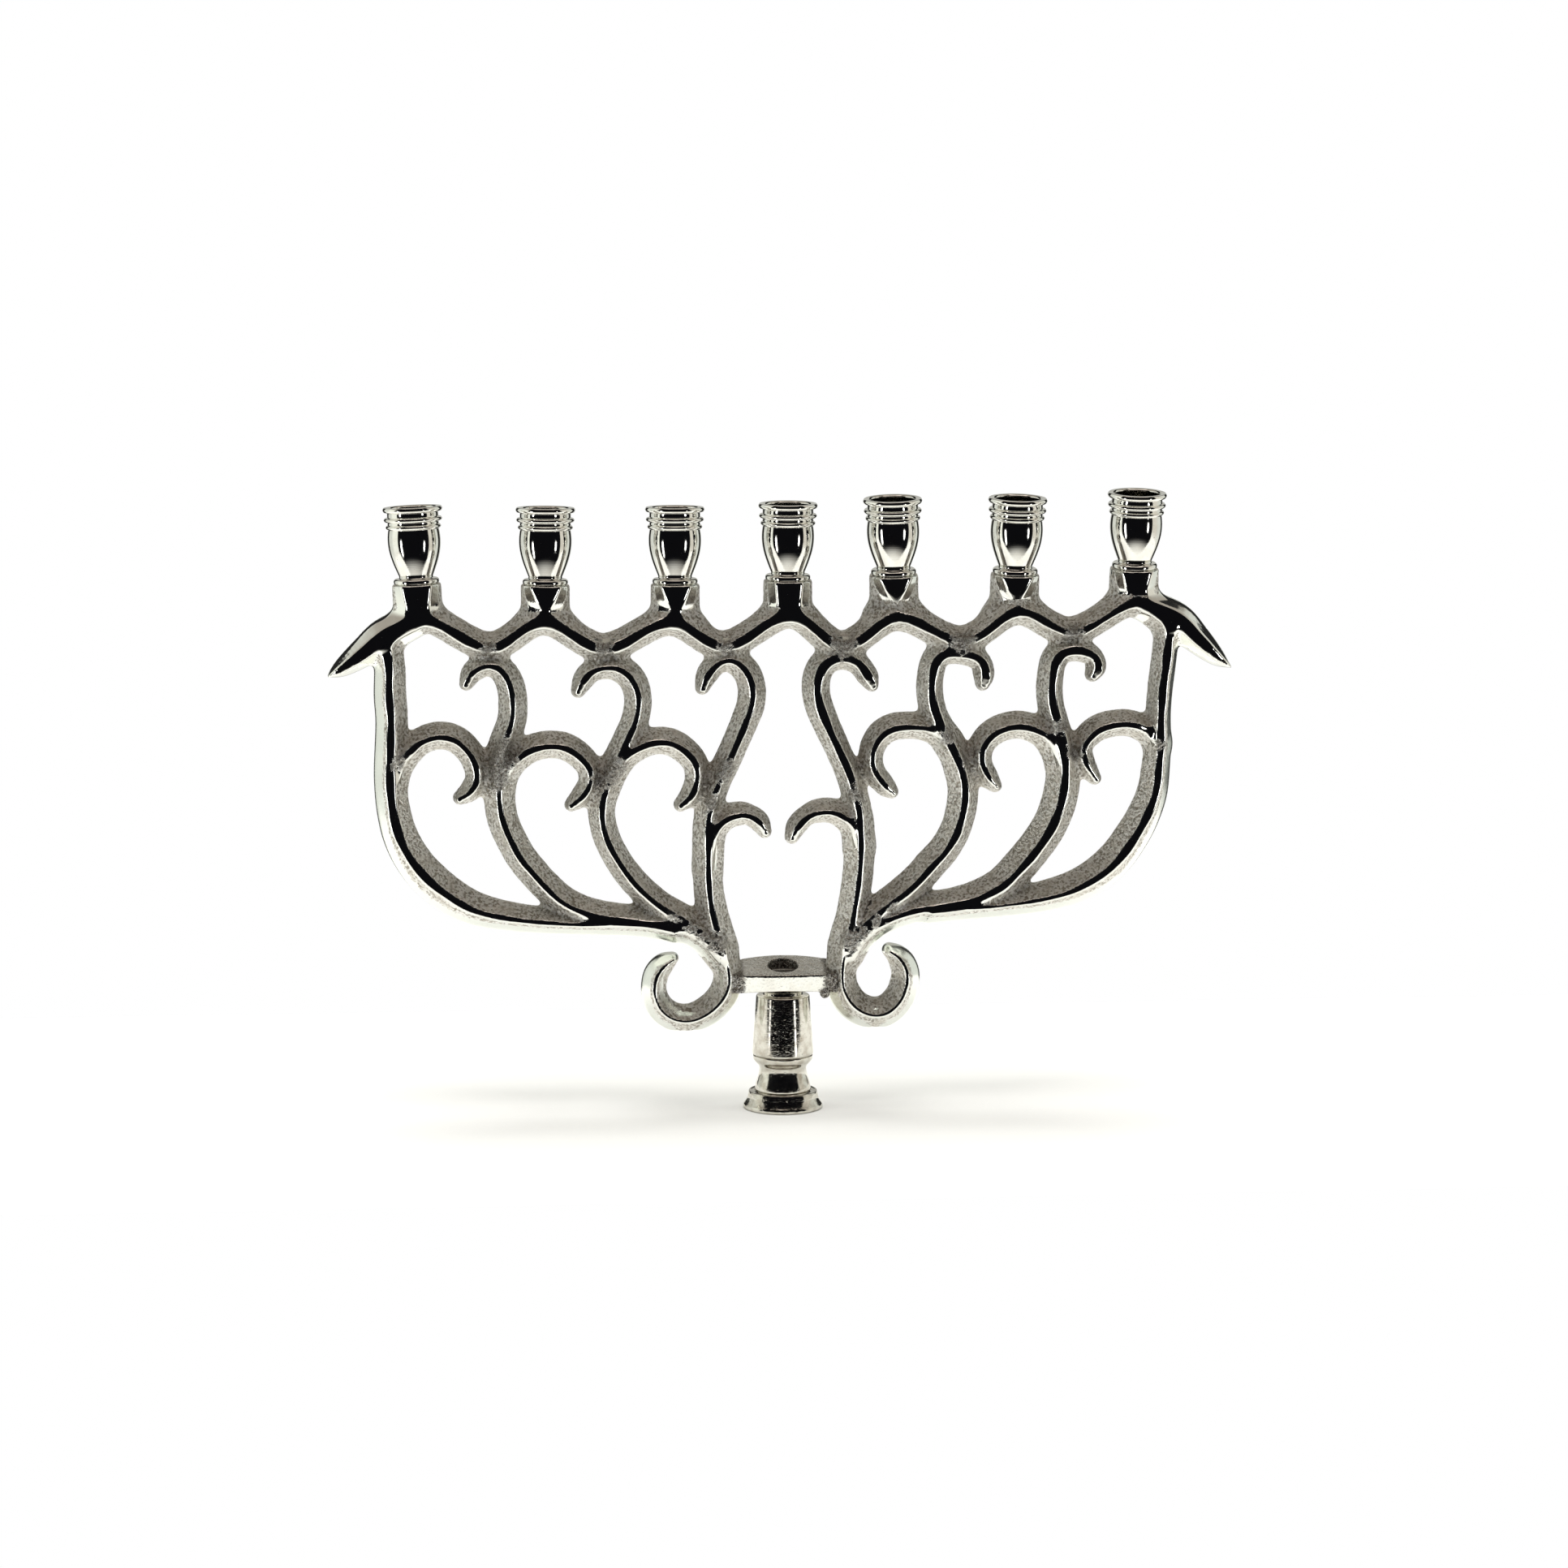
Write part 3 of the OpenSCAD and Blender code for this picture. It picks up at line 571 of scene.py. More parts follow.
def reach(line, x, z):
    """Distances of points outside a stroke, from its middle, and along it to its end."""
    outside = np.full(x.shape, BIG)
    middle = np.full(x.shape, BIG)
    left = np.zeros(x.shape)
    runs = np.hypot(*np.diff(line[:, :2], axis=0).T)
    to_go = runs.sum() - np.concatenate([[0], np.cumsum(runs)])
    for i, run in enumerate(runs):
        a, b = line[i], line[i + 1]
        along = (b[:2] - a[:2]) / run
        t = np.clip(((x - a[0]) * along[0] + (z - a[1]) * along[1]) / run, 0, 1)
        away = np.hypot(x - a[0] - t * run * along[0], z - a[1] - t * run * along[1])
        past = away - a[2] - t * (b[2] - a[2])
        closer = past < outside
        outside = np.where(closer, past, outside)
        middle = np.where(closer, away, middle)
        left = np.where(closer, to_go[i] - t * run, left)
    return outside, middle, left


def section(middle, half, y, height, crown, crown_round, edge=EDGE_HALF):
    """An arm's section, below 0 inside: a crowned ridge, sloping walls, a round edge."""
    top = y - height + middle**2 / (2 * crown_round)
    corner = height - crown**2 / (2 * crown_round)
    slope = np.hypot(corner - edge, half - crown)
    wall = ((middle - half) * (corner - edge) + (y - edge) * (half - crown)) / slope
    return smooth_max(smooth_max(top, wall, 0.35), middle - half, 1.0)


class Field:
    """A solid on a grid of samples, below 0 inside, with flat maps of the nearest stroke."""

    def __init__(self, low, high, step):
        self.step = step
        self.low = np.array(low, float)
        counts = np.ceil((np.array(high) - self.low) / step).astype(int) + 1
        self.axes = [self.low[i] + step * np.arange(counts[i]) for i in range(3)]
        self.value = np.full(counts, BIG, np.float32)
        self.plain = np.full(counts, BIG, np.float32)
        self.nearest = np.full((counts[0], counts[2]), BIG)
        self.owner = np.zeros((counts[0], counts[2]), int)
        self.bright = np.zeros((counts[0], counts[2]))

    def window(self, low, high):
        """The slices of the grid that hold a box."""
        return tuple(
            slice(max(int((a - o) / self.step), 0), max(int((b - o) / self.step) + 2, 0))
            for a, b, o in zip(low, high, self.low)
        )

    def add(self, window, values, k=FILLET):
        self.value[window] = smooth_min(self.value[window], values, k)
        self.plain[window] = np.minimum(self.plain[window], values)

    def add_stroke(self, line, owner, fading=False, broad=False, slim=False, thinning=False, wing=False):
        line = np.array(line, float)
        margin = 8
        low = (line[:, 0].min() - margin, -10, line[:, 1].min() - margin)
        high = (line[:, 0].max() + margin, 10, line[:, 1].max() + margin)
        window = self.window(low, high)
        x, z = np.meshgrid(self.axes[0][window[0]], self.axes[2][window[2]], indexing="ij")
        outside, middle, left = reach(line, x, z)
        half = middle - outside
        height = HALF_DEPTH * np.clip(0.5 + 0.5 * half / FULL_HALF, 0, 1)
        if fading:
            height *= LEAF_ROOT + (1 - LEAF_ROOT) * ease((left - 3) / 9)
        ridge = CROWN + CROWN_EXTRA * ease(left / 120) * broad
        if slim:
            ridge *= SLIM_RIDGE
        if thinning:
            ridge *= THIN_END + (1 - THIN_END) * ease((left - 12) / 50)
        ridge *= 1 + UNEVEN * np.sin(0.33 * x + 0.21 * z) * np.sin(0.17 * x - 0.29 * z + 1)
        crown = half * WING_CROWN if wing else np.minimum(ridge, 0.5 * half)
        crown_round = WING_ROUND if wing else CROWN_ROUND
        y = np.abs(self.axes[1][window[1]])[None, :, None]
        flat = [a[:, None, :] for a in (middle, half, height, crown)]
        self.add(window, section(flat[0], flat[1], y, flat[2], flat[3], crown_round))
        plane = (window[0], window[2])
        closer = outside < self.nearest[plane]
        self.nearest[plane] = np.where(closer, outside, self.nearest[plane])
        self.owner[plane] = np.where(closer, owner, self.owner[plane])
        corner = height - crown**2 / (2 * crown_round) - 0.3
        self.bright[plane] = np.where(closer, 0.0 if wing else corner, self.bright[plane])

    def add_post(self, seat):
        sx, sz, side, front, shield, depth = seat
        a, b = math.radians(front), math.radians(side)
        axis = (math.sin(b) * math.cos(a), -math.sin(a), math.cos(b) * math.cos(a))
        window = self.window((sx - 14, -10, sz - POST_LONG - 6), (sx + 14, 10, sz + 4))
        x, y, z = np.meshgrid(*(axis_[w] for axis_, w in zip(self.axes, window)), indexing="ij")
        up = (x - sx) * axis[0] + y * axis[1] + (z - sz) * axis[2]
        middle = np.abs(x - sx - up * axis[0])
        depth_now = np.abs(y - up * axis[1])
        crown = shield + (depth - shield) * np.clip(-up / SHIELD_LONG, 0, 1)
        half = POST_R + POST_FLARE * ease((-up - 6.5) / 8)
        deep = POST_R - 0.9 * ease((-up - 4) / 7)
        body = section(middle, half, depth_now, deep, crown, POST_ROUND, 2.6)
        body = smooth_max(body, -up - POST_LONG, 2.0)
        self.add(window, body, 2.6)
        near = (middle < POST_R + 3.5) & (up > -3)
        value, plain = self.value[window], self.plain[window]
        self.value[window] = np.where(near, smooth_max(value, up, 0.5), value)
        self.plain[window] = np.where(near, np.maximum(plain, up), plain)
        plane = (window[0], window[2])
        flat_up = (z - sz)[:, 0, :]
        post = (middle.min(axis=1) < POST_R) & (flat_up > -8)
        self.nearest[plane] = np.where(post, -BIG, self.nearest[plane])
        self.owner[plane] = np.where(post, 0, self.owner[plane])
        edge = POST_R - crown.mean(axis=1) ** 2 / (2 * POST_ROUND) - 3.2
        self.bright[plane] = np.where(post, edge, self.bright[plane])

    def sample(self, array, points):
        """Reads a grid between its samples."""
        where = (points - self.low) / self.step
        base = np.clip(np.floor(where).astype(int), 0, np.array(array.shape) - 2)
        part = where - base
        total = np.zeros(len(points))
        for corner in np.ndindex(2, 2, 2):
            weight = np.prod(np.where(corner, part, 1 - part), axis=1)
            total += weight * array[tuple((base + corner).T)]
        return total

    def sample_flat(self, array, points):
        """Reads a flat map at the cell nearest to each point."""
        where = np.rint((points[:, [0, 2]] - self.low[[0, 2]]) / self.step).astype(int)
        where = np.clip(where, 0, np.array(array.shape) - 1)
        return array[tuple(where.T)]

    def gradient(self, points):
        """The outward direction at each point, of length 1."""
        shifts = np.eye(3) * self.step * 0.7
        rows = [self.sample(self.value, points + s) - self.sample(self.value, points - s) for s in shifts]
        slope = np.stack(rows, 1)
        return slope / np.maximum(np.linalg.norm(slope, axis=1, keepdims=True), 1e-9)

    def surface(self, rounds=4):
        """Quads over the surface, with one point to each crossed cell, evened out."""
        f = self.value
        inside = f < 0
        count = sum(inside[i:i - 1 or None, j:j - 1 or None, k:k - 1 or None].astype(np.int8)
                    for i, j, k in np.ndindex(2, 2, 2))
        crossed = (count > 0) & (count < 8)
        cells = np.argwhere(crossed)
        index = np.full(crossed.shape, -1)
        index[crossed] = np.arange(len(cells))
        total = np.zeros((len(cells), 3))
        number = np.zeros((len(cells), 1))
        for axis in range(3):
            unit = np.eye(3, dtype=int)[axis]
            for corner in np.ndindex(2, 2, 2):
                if corner[axis]:
                    continue
                a = f[tuple((cells + corner).T)]
                b = f[tuple((cells + corner + unit).T)]
                cut = ((a < 0) != (b < 0))[:, None]
                t = np.where(cut[:, 0], a / np.where(a == b, 1, a - b), 0)[:, None]
                total += cut * (np.array(corner) + t * unit)
                number += cut
        points = self.low + self.step * (cells + total / number)
        quads = []
        for axis in range(3):
            u, v = [i for i in range(3) if i != axis]
            trim = [slice(1, -1)] * 3
            trim[axis] = slice(0, -1)
            ahead = list(trim)
            ahead[axis] = slice(1, None)
            a, b = inside[tuple(trim)], inside[tuple(ahead)]
            start = np.array([0 if i == axis else 1 for i in range(3)])
            for leaving in (True, False):
                at = np.argwhere((a & ~b) if leaving else (~a & b)) + start
                ring = []
                for du, dv in ((0, 0), (1, 0), (1, 1), (0, 1)):
                    shift = np.zeros(3, int)
                    shift[u], shift[v] = du, dv
                    ring.append(index[tuple((at - shift).T)])
                if leaving == (axis == 1):
                    ring.reverse()
                quads.append(np.stack(ring, 1))
        quads = np.vstack(quads)
        for _ in range(rounds):
            points = 0.4 * points + 0.6 * neighbour_mean(points, quads)
            slope = self.gradient(points)
            points = points - slope * np.clip(self.sample(f, points), -0.5, 0.5)[:, None] * 0.8
        return points, quads


def new_object(name, mesh, material, slot, *replaced, body=BODY, at=None):
    """Puts a finished mesh in the scene as one piece of the object."""
    piece = add_object(name, mesh)
    mesh.materials.append(material)
    mesh.shade_smooth()
    if at is not None:
        piece.matrix_world = at
    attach(piece, body)
    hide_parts(*replaced)
    return piece


def wobble(points, scale, seed):
    """Noise from -1 to 1 at each point; scale is its bumps' size in mm."""
    shift = Vector((seed, 2.3 * seed, 5.1 * seed))
    return np.array([noise.noise(Vector(p) / scale + shift) for p in points.tolist()])


def neighbour_mean(values, quads):
    """For each point, the mean of the values at its neighbours."""
    total = np.zeros_like(values)
    number = np.zeros((len(values), 1))
    for i in range(4):
        a, b = quads[:, i], quads[:, (i + 1) % 4]
        np.add.at(total, a, values[b])
        np.add.at(total, b, values[a])
        np.add.at(number, a, 1)
        np.add.at(number, b, 1)
    return total / number


def hollowness(points, quads, normals):
    """How far, in mm, each point lies below its neighbours, evened out over a few rings."""
    below = ((neighbour_mean(points, quads) - points) * normals).sum(axis=1, keepdims=True)
    for _ in range(4):
        below = neighbour_mean(below, quads)
    return below[:, 0]


def grow(mask):
    """The cells of a mask and those beside them."""
    grown = mask.copy()
    grown[1:] |= mask[:-1]
    grown[:-1] |= mask[1:]
    grown[:, 1:] |= mask[:, :-1]
    grown[:, :-1] |= mask[:, 1:]
    return grown


def open_space(solid):
    """The empty cells beside and below the whole casting, but not those in its gaps."""
    outside = np.zeros_like(solid)
    outside[0, :] = outside[-1, :] = outside[:, 0] = True
    while True:
        grown = grow(outside) & ~solid
        if (grown == outside).all():
            return outside
        outside = grown


def even_out(owner, count, rounds=2):
    """Gives each cell to the casting that holds most of the cells round it."""
    for _ in range(rounds):
        votes = np.zeros((count,) + owner.shape, np.int16)
        for number in range(count):
            held = np.pad(owner == number, 2, mode="edge")
            for i, j in np.ndindex(5, 5):
                votes[number] += held[i:i + owner.shape[0], j:j + owner.shape[1]]
        owner = votes.argmax(axis=0)
    return owner


def casting_field():
    """The casting as one solid: strokes, rail, wings and posts."""
    field = Field(GRID_LOW, GRID_HIGH, STEP)
    rail = [(x, z, RAIL_HALF) for x, z in ZIGZAG]
    for number, strokes in enumerate(CASTINGS.values()):
        for stroke in strokes:
            marks = [stroke in group for group in (FADING, BROAD, SLIM, THINNING)]
            field.add_stroke(curve(stroke), number, *marks)
    field.add_stroke(curve(rail), 0, broad=True)
    for wing in (L_WING, R_WING):
        field.add_stroke(curve(wing), 0, wing=True)
    for seat in SEATS:
        field.add_post(seat)
    return field


def satin_map(field):
    """1 for the cells along the casting's outer rim, 0 elsewhere."""
    solid = field.value.min(axis=1) < 0
    x, z = np.meshgrid(field.axes[0], field.axes[2], indexing="ij")
    # The bridge closes the gap between the trunks
    solid |= (np.abs(x) < 20) & (z > BRIDGE_LOW) & (z < 50)
    around = open_space(solid)
    for _ in range(int(RIM_WIDTH / STEP)):
        around = grow(around)
    around = around.astype(float)
    around[z > RIM_TOP] = 0
    for eye_x, eye_z, radius in EYES:
        around[np.hypot(x - eye_x, z - eye_z) < radius] = 0
    return around


def finish_maps(field, points, quads, normals):
    """How polished and satin the casting is at each point, and how dark with dirt and painted shade."""
    depth = np.abs(points[:, 1])
    crest = ease((depth - field.sample_flat(field.bright, points) + 0.1) / 0.35)
    fillet = field.sample(field.plain, points) - field.sample(field.value, points)
    hollow = hollowness(points, quads, normals)
    # Painted shade: darker where the surface lies below its neighbours, in the fillets where strokes meet
    dirt_and_shade = ease((hollow - 0.03) / 0.08) * ease(fillet / 0.3)
    dull = np.zeros(len(points))
    ragged = wobble(points, 1.4, 6) * 2.0
    for x, z, radius in DULL:
        away = np.hypot(points[:, 0] - x, points[:, 2] - z) + ragged
        dull = np.maximum(dull, ease((radius + 1.2 - away) / 2.8))
    rim = field.sample_flat(satin_map(field), points) * ease((RIM_DEPTH - depth) / 1.5)
    crest = crest * (1 - 0.8 * dirt_and_shade) * (1 - 0.94 * dull)
    # Real dirt where no wheel could polish, on the parts that stand more than 3.5 mm out from the middle
    dirt_and_shade = np.maximum(dirt_and_shade, 0.75 * dull * ease((depth - 3.5) / 2))
    return {"polish": np.maximum(crest, rim), "dirt_and_shade": dirt_and_shade, "satin": rim * (1 - crest)}


def shading_normals(points, quads):
    """The uncut surface's normals, so that no seam shows where it is cut."""
    whole = bpy.data.meshes.new("whole")
    whole.from_pydata((points * MM).tolist(), [], quads.tolist())
    shading = np.zeros(len(points) * 3)
    whole.vertex_normals.foreach_get("vector", shading)
    bpy.data.meshes.remove(whole)
    return shading.reshape(-1, 3)


def paint(mesh, maps):
    """Writes the values that the material reads, one for each vertex."""
    for label, values in maps.items():
        mesh.attributes.new(label, "FLOAT", "POINT").data.foreach_set("value", values)


def make_castings(material):
    field = casting_field()
    points, quads = field.surface()
    normals = field.gradient(points)
    maps = finish_maps(field, points, quads, normals)
    sand = wobble(points, 0.9, 1) * 0.06 + wobble(points, 2.6, 2) * 0.07
    hand = wobble(points, 9.0, 3) * 0.05
    points = points + normals * ((1 - maps["polish"]) * sand + hand)[:, None]
    shading = shading_normals(points, quads)
    owner = field.sample_flat(even_out(field.owner, len(CASTINGS)), points[quads].mean(axis=1))
    for number, name in enumerate(CASTINGS):
        used, local = np.unique(quads[owner == number], return_inverse=True)
        mesh = bpy.data.meshes.new(name)
        mesh.from_pydata((points[used] * MM).tolist(), [], local.reshape(-1, 4).tolist())
        paint(mesh, {label: values[used] for label, values in maps.items()})
        close(mesh)
        piece = new_object(name + "_cast", mesh, material, CAST, name)
        piece.data.normals_split_custom_set_from_vertices(shading[used].tolist())


def close(mesh):
    """Caps the open loops where castings meet."""
    bm = bmesh.new()
    bm.from_mesh(mesh)
    edges = [e for e in bm.edges if e.is_boundary]
    if edges:
        caps = bmesh.ops.holes_fill(bm, edges=edges, sides=0)["faces"]
        bmesh.ops.triangulate(bm, faces=caps)
    bm.to_mesh(mesh)
    bm.free()


# ---- the bridge
BRIDGE_HALF = 16.5
BRIDGE_LOW = top_of("stem_column")
BRIDGE_FACE = 5.8
BRIDGE_SHOULDER = BRIDGE_LOW + BRIDGE_FACE
BRIDGE_RISE = 4.0
BRIDGE_DEPTH = 7.25
# The tie bolt, its head and its sink; the head lies just under the sink's front edge
BOLT_R = 2.5
HEAD_R = 4.5
SINK_R = 4.6
HEAD_TOP = BRIDGE_SHOULDER + BRIDGE_RISE * (0.5 - HEAD_R / (2 * BRIDGE_DEPTH)) - 0.4
# A lump of weld under the bridge's right end
LUMP = (12.6, -4.8, 36.6)
LUMP_R = 1.5


def make_bridge(material):
    """A lens-shaped block with a sloping top, sunk for the tie bolt."""
    field = Field((-18, -9, 33.5), (18, 9, 50), 0.25)
    x, y, z = np.meshgrid(*field.axes, indexing="ij")
    bow = (x / BRIDGE_HALF) ** 2
    lean = 0.13 * np.clip(BRIDGE_SHOULDER - z, 0, None) * (y < 0)
    front = np.abs(y) - BRIDGE_DEPTH + 0.7 * bow + lean
    across = y / (2 * BRIDGE_DEPTH) + 0.5
    roof = z - BRIDGE_SHOULDER - BRIDGE_RISE * across * (1 - 0.4 * bow)
    under = BRIDGE_LOW - z + 0.5 * (1 - bow)
    body = smooth_max(smooth_max(front, roof, 0.5), under, 0.4)
    body = smooth_max(body, np.abs(x) - BRIDGE_HALF, 0.3)
    away = np.hypot(x, y)
    cone = (2.6 + np.clip(z - HEAD_TOP + 2.0, 0, 2.0) - away) / 1.3
    hole = np.where(z > HEAD_TOP, SINK_R - away, cone)
    body = smooth_max(body, hole, 0.3)
    lump = np.sqrt((x - LUMP[0]) ** 2 + (y - LUMP[1]) ** 2 + (z - LUMP[2]) ** 2) - LUMP_R
    field.value = smooth_min(body, lump, 1.0).astype(np.float32)
    points, quads = field.surface(3)
    normals = field.gradient(points)
    ends = ease((np.abs(points[:, 0]) - 11.6) / 1.6)
    ends = np.maximum(ends, ease((3.1 - np.linalg.norm(points - LUMP, axis=1)) / 1.2))
    flat_face = ease((BRIDGE_SHOULDER + 0.1 - points[:, 2]) / 0.3)
    in_hole = (np.hypot(points[:, 0], points[:, 1]) < SINK_R + 0.2) & (points[:, 2] > 38)
    uneven = ends * wobble(points, 1.1, 4) * 0.22 + wobble(points, 6.0, 5) * 0.04
    points = points + normals * uneven[:, None]
    mesh = bpy.data.meshes.new("bridge")
    mesh.from_pydata((points * MM).tolist(), [], quads.tolist())
    streak = ease(0.5 + 1.5 * wobble(points * (0.35, 1, 1), 2.2, 7))
    polish = (0.45 + 0.4 * flat_face) * (1 - ends) * ~in_hole
    # Dirt on the rough ends and the weld lump, painted shade inside the bolt's sink, and random streaks on
    # the top
    dirt_and_shade = np.maximum(np.maximum(ends, in_hole * 0.9), 0.45 * streak * (1 - flat_face))
    paint(mesh, {"polish": polish, "dirt_and_shade": dirt_and_shade})
    new_object("bridge_block", mesh, material, CAST, "bridge_boss")


# ---- turned parts
def rounded(outline, radius, steps=3):
    """A closed outline of (r, z) corners, rounded by up to radius; those on the axis stay sharp."""
    out = []
    count = len(outline)
    for i, corner in enumerate(outline):
        before, after = Vector(outline[i - 1]), Vector(outline[(i + 1) % count])
        corner = Vector(corner)
        a, b = before - corner, after - corner
        cut = min(radius, 0.4 * a.length, 0.4 * b.length)
        turn = a.angle(b) if a.length and b.length else math.pi
        if turn > math.radians(165) or (i in (0, count - 1) and corner.x < 0.01):
            out.append(corner)
            continue
        start, end = corner + cut * a.normalized(), corner + cut * b.normalized()
        for k in range(steps + 1):
            t = k / steps
            out.append((1 - t) ** 2 * start + 2 * t * (1 - t) * corner + t * t * end)
    return out


def lathe(name, outline, around=128):
    """A solid of revolution about Z from a closed outline of (r, z) in mm."""
    bm = bmesh.new()
    turns = [2 * math.pi * k / around for k in range(around)]
    rings = []
    for r, z in outline:
        if r < 0.005:
            rings.append([bm.verts.new((0, 0, z * MM))])
        else:
            rings.append([bm.verts.new((r * MM * math.cos(t), r * MM * math.sin(t), z * MM)) for t in turns])
    for one, two in zip(rings, rings[1:] + rings[:1]):
        for k in range(around):
            n = (k + 1) % around
            if len(one) == 1 and len(two) == 1:
                break
            if len(one) == 1:
                bm.faces.new((one[0], two[n], two[k]))
            elif len(two) == 1:
                bm.faces.new((one[k], one[n], two[0]))
            else:
                bm.faces.new((one[k], one[n], two[n], two[k]))
    bmesh.ops.recalc_face_normals(bm, faces=bm.faces)
    mesh = bpy.data.meshes.new(name)
    bm.to_mesh(mesh)
    bm.free()
    return mesh


def weight_normals(piece):
    """Lets large faces decide how small rounded edges are shaded."""
    modifier = piece.modifiers.new("shading", "WEIGHTED_NORMAL")
    modifier.keep_sharp = True
    modifier.weight = 80


# Heights of the column's shoulder and of the joints, and the bore's radius
STEM_TOP = 35.6
SPOOL_TOP = top_of("stem_spool")
FOOT_TOP = top_of("foot_ring")
HOLE_R = 2.7
# The underside of the foot's web, where the washer bears
FOOT_WEB = 4.0


def wave(r_from, z_from, r_to, z_to, steps=10):
    """Half a cosine wave between two points of an outline."""
    outline = []
    for k in range(steps + 1):
        share = (1 - math.cos(math.pi * k / steps)) / 2
        outline.append((r_from + (r_to - r_from) * share, z_from + (z_to - z_from) * k / steps))
    return outline


def make_stem(material):
    column = [
        (HOLE_R, SPOOL_TOP), (9.1, SPOOL_TOP), (9.5, SPOOL_TOP + 0.5), (9.2, SPOOL_TOP + 6),
        (8.75, SPOOL_TOP + 12), (8.3, STEM_TOP - 0.3), (8, STEM_TOP), (6.2, STEM_TOP), (6.2, BRIDGE_LOW),
        (HOLE_R, BRIDGE_LOW),
    ]
    spool = [(HOLE_R, FOOT_TOP)] + wave(8.7, FOOT_TOP, 7.3, 12.6) + wave(7.3, 12.6, 9.3, 15.9)[1:]
    spool += [(9.3, SPOOL_TOP), (HOLE_R, SPOOL_TOP)]
    foot = [
        (HOLE_R, FOOT_WEB), (7, FOOT_WEB), (7, 0), (12.1, 0), (12.4, 0.5), (12.3, 1.3), (11.6, 2.2),
        (11.0, 3.4), (10.8, FOOT_TOP - 0.8), (10.6, FOOT_TOP - 0.1), (10.2, FOOT_TOP),
        (9.9, FOOT_TOP - 0.35), (8.9, FOOT_TOP - 0.35), (8.6, FOOT_TOP), (HOLE_R, FOOT_TOP),
    ]
    for name, outline, radius, node in (
        ("column", column, 0.5, "stem_column"),
        ("spool", spool, 0.3, "stem_spool"),
        ("foot", foot, 0.3, "foot_ring"),
    ):
        mesh = lathe(name, rounded(outline, radius))
        weight_normals(new_object(name, mesh, material, TURNED, node))


# ---- cups and studs
CUP_H = 23.4
CANDLE_R = 7.0
CANDLE_DEPTH = 14.5
# The barrel: its ends, its radius at the foot, and how much fuller it gets
BARREL_LOW = 2.2
BARREL_TOP = 16.6
BARREL_R = 5.1
BARREL_FULLER = 2.9
# The rings above the barrel: bottom and top over the barrel's end, and radius
CUP_RINGS = [(0.2, 1.3, 8.45), (2.4, 3.6, 8.9), (5.3, 6.8, 9.1)]
# The stud: radius, radius at the bottom of its thread, pitch; its two ends
STUD = (2.0, 1.66, 0.7)
STUD_ENDS = (-8, 6)


def cup_outline():
    """Foot ring, barrel, three rings and rim, then down into the candle hole."""
    outside = [(2.1, 0), (6.6, 0), (6.9, 0.4), (6.9, 1.2), (6.4, 1.7), (5.3, 1.75)]
    steps = 22
    for k in range(steps + 1):
        t = k / steps
        r = BARREL_R + BARREL_FULLER * math.sin(math.radians(118 * t))
        outside.append((r, BARREL_LOW + (BARREL_TOP - BARREL_LOW) * t))
    for low, high, r in CUP_RINGS:
        low, high = BARREL_TOP + low, BARREL_TOP + high
        outside += [(7.75, low - 0.1), (r - 0.35, low), (r, (low + high) / 2), (r - 0.35, high)]
        outside.append((7.75, high + 0.1))
    floor = CUP_H - CANDLE_DEPTH
    inside = [
        (CANDLE_R + 0.5, CUP_H), (CANDLE_R, CUP_H - 0.5), (CANDLE_R, floor + 0.8), (CANDLE_R - 0.8, floor),
        (2.0, floor), (0, floor - 0.5), (0, 6.6), (2.1, 6.5),
    ]
    return rounded(outside[:-1] + inside, 0.22)


def seat_matrix(seat):
    """Where a cup and its stud stand on their post, and how they lean."""
    x, z, side, front = seat[:4]
    turn = Matrix.Rotation(math.radians(side), 4, "Y") @ Matrix.Rotation(math.radians(front), 4, "X")
    return Matrix.Translation((x * MM, 0, z * MM)) @ turn


def threaded(name, radius, root, pitch, low, high, plain=None, around=32):
    """A rod along Z with a helical thread, smooth above the height plain."""
    per_turn = 8
    rows = int((high - low) / pitch * per_turn)
    verts, faces = [(0, 0, low * MM), (0, 0, high * MM)], []
    for i in range(rows + 1):
        z = low + (high - low) * i / rows
        taper = min(1, (z - low) / pitch, (high - z) / pitch)
        for k in range(around):
            phase = (z / pitch - k / around) % 1
            cut = 1 - abs(2 * phase - 1)
            if plain is not None and z > plain:
                cut = 1
            r = root + (radius - root) * min(1, 1.4 * cut) if taper > 0 else root
            r -= 0.3 * (1 - max(taper, 0)) * (radius - root)
            angle = 2 * math.pi * k / around
            verts.append((r * MM * math.cos(angle), r * MM * math.sin(angle), z * MM))
    for i in range(rows):
        for k in range(around):
            n = (k + 1) % around
            a, b = 2 + i * around, 2 + (i + 1) * around
            faces.append((a + k, a + n, b + n, b + k))
    last = 2 + rows * around
    for k in range(around):
        n = (k + 1) % around
        faces.append((0, 2 + n, 2 + k))
        faces.append((1, last + k, last + n))
    mesh = bpy.data.meshes.new(name)
    mesh.from_pydata(verts, [], faces)
    return mesh


def make_cups(shiny, steel):
    for number, seat in enumerate(SEATS, 1):
        body, at = f"cup_{number}", seat_matrix(seat)
        cup = lathe(body, cup_outline())
        stud = threaded(f"stud_{number}", *STUD, *STUD_ENDS)
        node = f"candle_cup_{number}"
        piece = new_object(f"{body}_turned", cup, shiny, TURNED, node, body=body, at=at)
        new_object(f"stud_{number}_thread", stud, steel, STEEL, f"cup_stud_{number}", at=at)
        weight_normals(piece)


# ---- fasteners
# Half the nut's width across flats, its height, and the washer's thickness
NUT_FLAT = 4.0
NUT_H = 3.0
WASHER = 0.8


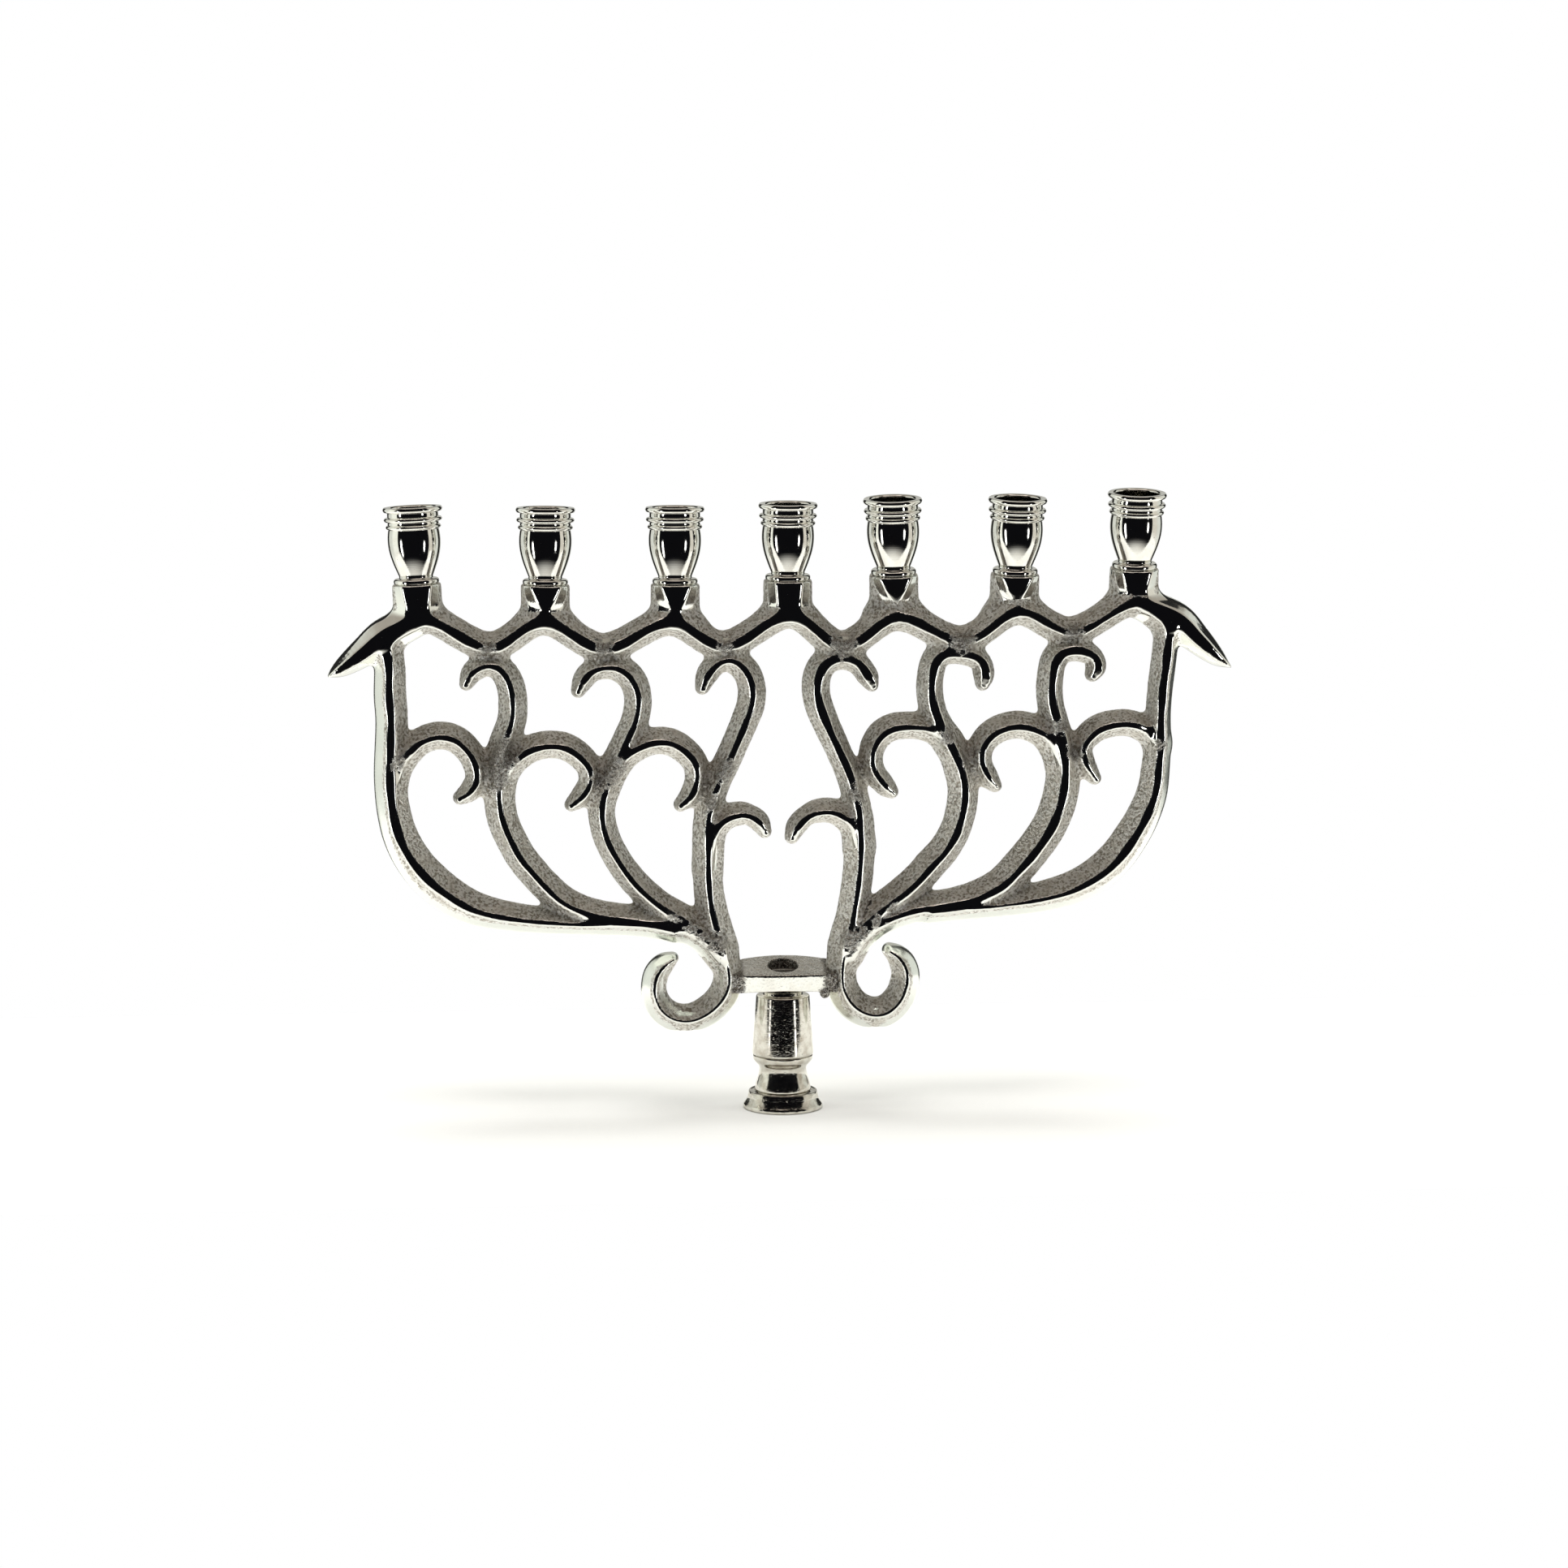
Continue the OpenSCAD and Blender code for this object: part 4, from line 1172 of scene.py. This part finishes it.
def cut_slot(mesh):
    """Cuts a screwdriver slot across the top of the bolt's head."""
    box = bpy.data.meshes.new("slot")
    bm = bmesh.new()
    bmesh.ops.create_cube(bm, size=1)
    bmesh.ops.scale(bm, vec=(12 * MM, 1.2 * MM, 2 * MM), verts=bm.verts)
    bmesh.ops.translate(bm, vec=(0, 0, HEAD_TOP * MM), verts=bm.verts)
    bm.to_mesh(box)
    bm.free()
    tool = add_object("slot", box)
    head = add_object("head", mesh)
    cut = head.modifiers.new("cut", "BOOLEAN")
    cut.object = tool
    cut.operation = "DIFFERENCE"
    bpy.context.view_layer.update()
    result = bpy.data.meshes.new_from_object(head.evaluated_get(bpy.context.evaluated_depsgraph_get()))
    for o in (tool, head):
        bpy.data.objects.remove(o)
    return result


def make_fasteners(steel):
    tail = FOOT_WEB - WASHER - NUT_H
    neck = HEAD_TOP - (HEAD_R - BOLT_R)
    bolt = threaded("bolt", BOLT_R, BOLT_R - 0.4, 0.8, tail, neck, plain=tail + 14, around=40)
    cone = [
        (0, neck - 0.5), (BOLT_R - 0.05, neck - 0.5), (BOLT_R, neck), (HEAD_R, HEAD_TOP - 0.15),
        (HEAD_R - 0.15, HEAD_TOP), (0, HEAD_TOP),
    ]
    head = cut_slot(lathe("head", rounded(cone, 0.1)))
    bm = bmesh.new()
    bm.from_mesh(bolt)
    bm.from_mesh(head)
    bm.to_mesh(bolt)
    bm.free()
    new_object("long_bolt", bolt, steel, STEEL, "tie_bolt")
    ring = [(HOLE_R, FOOT_WEB - WASHER), (5, FOOT_WEB - WASHER), (5, FOOT_WEB), (HOLE_R, FOOT_WEB)]
    new_object("washer", lathe("washer", rounded(ring, 0.15), 64), steel, STEEL, "tie_washer")
    corner = NUT_FLAT / math.cos(math.pi / 6)
    prism = [
        (BOLT_R, tail), (NUT_FLAT, tail), (corner, tail + 0.4), (corner, tail + NUT_H - 0.4),
        (NUT_FLAT, tail + NUT_H), (BOLT_R, tail + NUT_H),
    ]
    nut = lathe("nut", prism, 96)
    bm = bmesh.new()
    bm.from_mesh(nut)
    for k in range(6):
        turn = math.pi * (k + 0.5) / 3
        outward = Vector((math.cos(turn), math.sin(turn), 0))
        cut = bmesh.ops.bisect_plane(bm, geom=bm.verts[:] + bm.edges[:] + bm.faces[:], dist=1e-7,
                                     plane_co=outward * NUT_FLAT * MM, plane_no=outward, clear_outer=True)
        edges = [e for e in cut["geom_cut"] if isinstance(e, bmesh.types.BMEdge)]
        bmesh.ops.holes_fill(bm, edges=edges, sides=0)
    bm.to_mesh(nut)
    bm.free()
    piece = new_object("hex_nut", nut, steel, STEEL, "tie_nut")
    piece.data.shade_flat()


# ---- the scene
make_camera()
make_world()
make_floor()
cast, bright, worn, steel = cast_nickel(), turned_nickel(), worn_nickel(), fastener_steel()
make_castings(cast)
make_bridge(cast)
make_stem(worn)
make_cups(bright, steel)
make_fasteners(steel)
